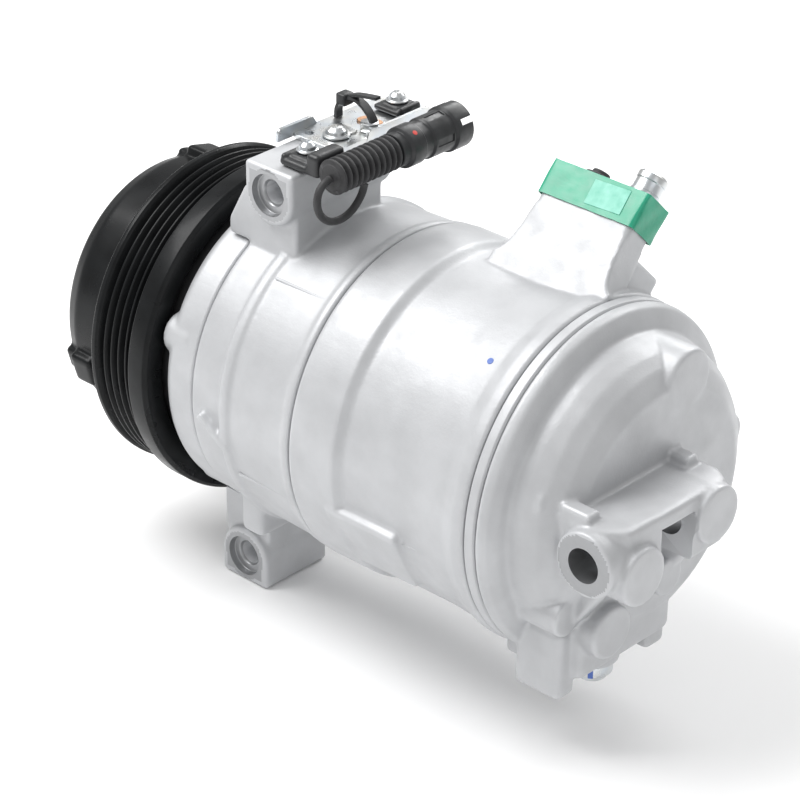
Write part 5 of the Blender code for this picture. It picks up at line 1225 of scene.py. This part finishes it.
def add_stage():
    """Pale floor, soft light and the camera."""
    scene = bpy.context.scene
    target = SHAFT_ORIGIN + Vector(CAMERA_TARGET) * MM
    away = Vector((math.cos(CAMERA_ELEVATION) * math.sin(CAMERA_AZIMUTH),
                   -math.cos(CAMERA_ELEVATION) * math.cos(CAMERA_AZIMUTH),
                   math.sin(CAMERA_ELEVATION)))
    data = bpy.data.cameras.new("camera")
    data.sensor_width = 36.0
    data.lens = CAMERA_LENS
    data.clip_start = 0.05
    data.clip_end = 20.0
    camera = bpy.data.objects.new("camera", data)
    scene.collection.objects.link(camera)
    turn = (-away).to_track_quat("-Z", "Y").to_matrix().to_4x4()
    camera.matrix_world = (Matrix.Translation(target + away * CAMERA_DISTANCE * MM) @ turn
                           @ Matrix.Rotation(CAMERA_ROLL, 4, "Z"))
    scene.camera = camera
    scene.view_settings.view_transform = "Standard"

    shape = bmesh.new()
    bmesh.ops.create_grid(shape, x_segments=1, y_segments=1, size=6.0)
    floor = bpy.data.objects.new("studio_floor", mesh_from(shape, "studio_floor"))
    scene.collection.objects.link(floor)
    floor.location = (0.0, 0.0, -0.0003)
    n = Nodes("studio_floor")
    color = tuple(finish().floor_color)
    n.base(n.ramp(n.noise(0.4), shade(color, 0.99), color))
    n.set(roughness=0.9, specular_ior_level=0.1)
    floor.data.materials.append(n.material)

    world = bpy.data.worlds.new("studio")
    world.use_nodes = True
    world.node_tree.nodes["Background"].inputs["Color"].default_value = (1.0, 1.0, 1.0, 1.0)
    world.node_tree.nodes["Background"].inputs["Strength"].default_value = WORLD_STRENGTH
    scene.world = world
    for light in LIGHTS:
        add_light(*light)


# ---------------------------------------------------------------- operators and panel
class COMPRESSOR_OT_stage(bpy.types.Operator):
    """Add the floor, the lights and the camera"""

    bl_idname = "compressor.stage"
    bl_label = "Studio"

    def execute(self, context):
        add_stage()
        return {"FINISHED"}


class COMPRESSOR_OT_lead(bpy.types.Operator):
    """Add the clutch lead's free loop"""

    bl_idname = "compressor.lead"
    bl_label = "Clutch lead"

    def execute(self, context):
        add_lead()
        return {"FINISHED"}


class COMPRESSOR_OT_inside(bpy.types.Operator):
    """Finish the pieces inside the castings"""

    bl_idname = "compressor.inside"
    bl_label = "Inner pieces"

    def execute(self, context):
        finish_inside()
        return {"FINISHED"}


class COMPRESSOR_OT_pulley(bpy.types.Operator):
    """Add the pulley and the field coil"""

    bl_idname = "compressor.pulley"
    bl_label = "Pulley"

    def execute(self, context):
        add_pulley()
        return {"FINISHED"}


class COMPRESSOR_OT_clutch(bpy.types.Operator):
    """Add the drum, armature, damper, hub and nut"""

    bl_idname = "compressor.clutch"
    bl_label = "Clutch"

    def execute(self, context):
        add_clutch()
        return {"FINISHED"}


class COMPRESSOR_OT_front_head(bpy.types.Operator):
    """Add the front head casting"""

    bl_idname = "compressor.front_head"
    bl_label = "Front head"

    def execute(self, context):
        add_front_head()
        return {"FINISHED"}


class COMPRESSOR_OT_front_body(bpy.types.Operator):
    """Add the front body casting"""

    bl_idname = "compressor.front_body"
    bl_label = "Front body"

    def execute(self, context):
        add_front_body()
        return {"FINISHED"}


class COMPRESSOR_OT_rear_body(bpy.types.Operator):
    """Add the rear body casting and the valve plate"""

    bl_idname = "compressor.rear_body"
    bl_label = "Rear body"

    def execute(self, context):
        add_rear_body()
        return {"FINISHED"}


class COMPRESSOR_OT_rear_head(bpy.types.Operator):
    """Add the rear head casting and the relief valve"""

    bl_idname = "compressor.rear_head"
    bl_label = "Rear head"

    def execute(self, context):
        add_rear_head()
        return {"FINISHED"}


class COMPRESSOR_OT_ports(bpy.types.Operator):
    """Add the sealing tape, the cap and the stud"""

    bl_idname = "compressor.ports"
    bl_label = "Ports"

    def execute(self, context):
        add_ports()
        return {"FINISHED"}


class COMPRESSOR_OT_bracket(bpy.types.Operator):
    """Add the sensor bracket, clips, screws and cable tie"""

    bl_idname = "compressor.bracket"
    bl_label = "Bracket"

    def execute(self, context):
        add_bracket()
        return {"FINISHED"}


class COMPRESSOR_OT_connector(bpy.types.Operator):
    """Add the corrugated boot and the connector"""

    bl_idname = "compressor.connector"
    bl_label = "Connector"

    def execute(self, context):
        add_connector()
        return {"FINISHED"}


class COMPRESSOR_OT_marks(bpy.types.Operator):
    """Add the paint dot"""

    bl_idname = "compressor.marks"
    bl_label = "Marks"

    def execute(self, context):
        add_marks()
        return {"FINISHED"}


OPERATORS = (COMPRESSOR_OT_stage, COMPRESSOR_OT_lead, COMPRESSOR_OT_inside, COMPRESSOR_OT_pulley,
             COMPRESSOR_OT_clutch, COMPRESSOR_OT_front_head, COMPRESSOR_OT_front_body,
             COMPRESSOR_OT_rear_body, COMPRESSOR_OT_rear_head, COMPRESSOR_OT_ports,
             COMPRESSOR_OT_bracket, COMPRESSOR_OT_connector, COMPRESSOR_OT_marks)


class COMPRESSOR_PT_pieces(bpy.types.Panel):
    """Lists the compressor's pieces and finishes."""

    bl_idname = "COMPRESSOR_PT_pieces"
    bl_label = "Compressor"
    bl_space_type = "VIEW_3D"
    bl_region_type = "UI"
    bl_category = "Compressor"

    def draw(self, context):
        layout = self.layout
        for settings in (context.scene.compressor_finish, context.scene.compressor_sizes):
            for name in settings.bl_rna.properties.keys():
                if name not in ("rna_type", "name"):
                    layout.prop(settings, name)
        for operator in OPERATORS:
            layout.operator(operator.bl_idname)


CLASSES = (CompressorFinish, CompressorSizes, *OPERATORS, COMPRESSOR_PT_pieces)


def register():
    for item in CLASSES:
        bpy.utils.register_class(item)
    bpy.types.Scene.compressor_finish = PointerProperty(type=CompressorFinish)
    bpy.types.Scene.compressor_sizes = PointerProperty(type=CompressorSizes)


def unregister():
    del bpy.types.Scene.compressor_sizes
    del bpy.types.Scene.compressor_finish
    for item in reversed(CLASSES):
        bpy.utils.unregister_class(item)


def corners(box):
    return [[float(v) for v in corner] for corner in box]


def main():
    register()
    for operator in OPERATORS:
        getattr(bpy.ops.compressor, operator.bl_idname.split(".")[1])()


if __name__ == "__main__":
    main()
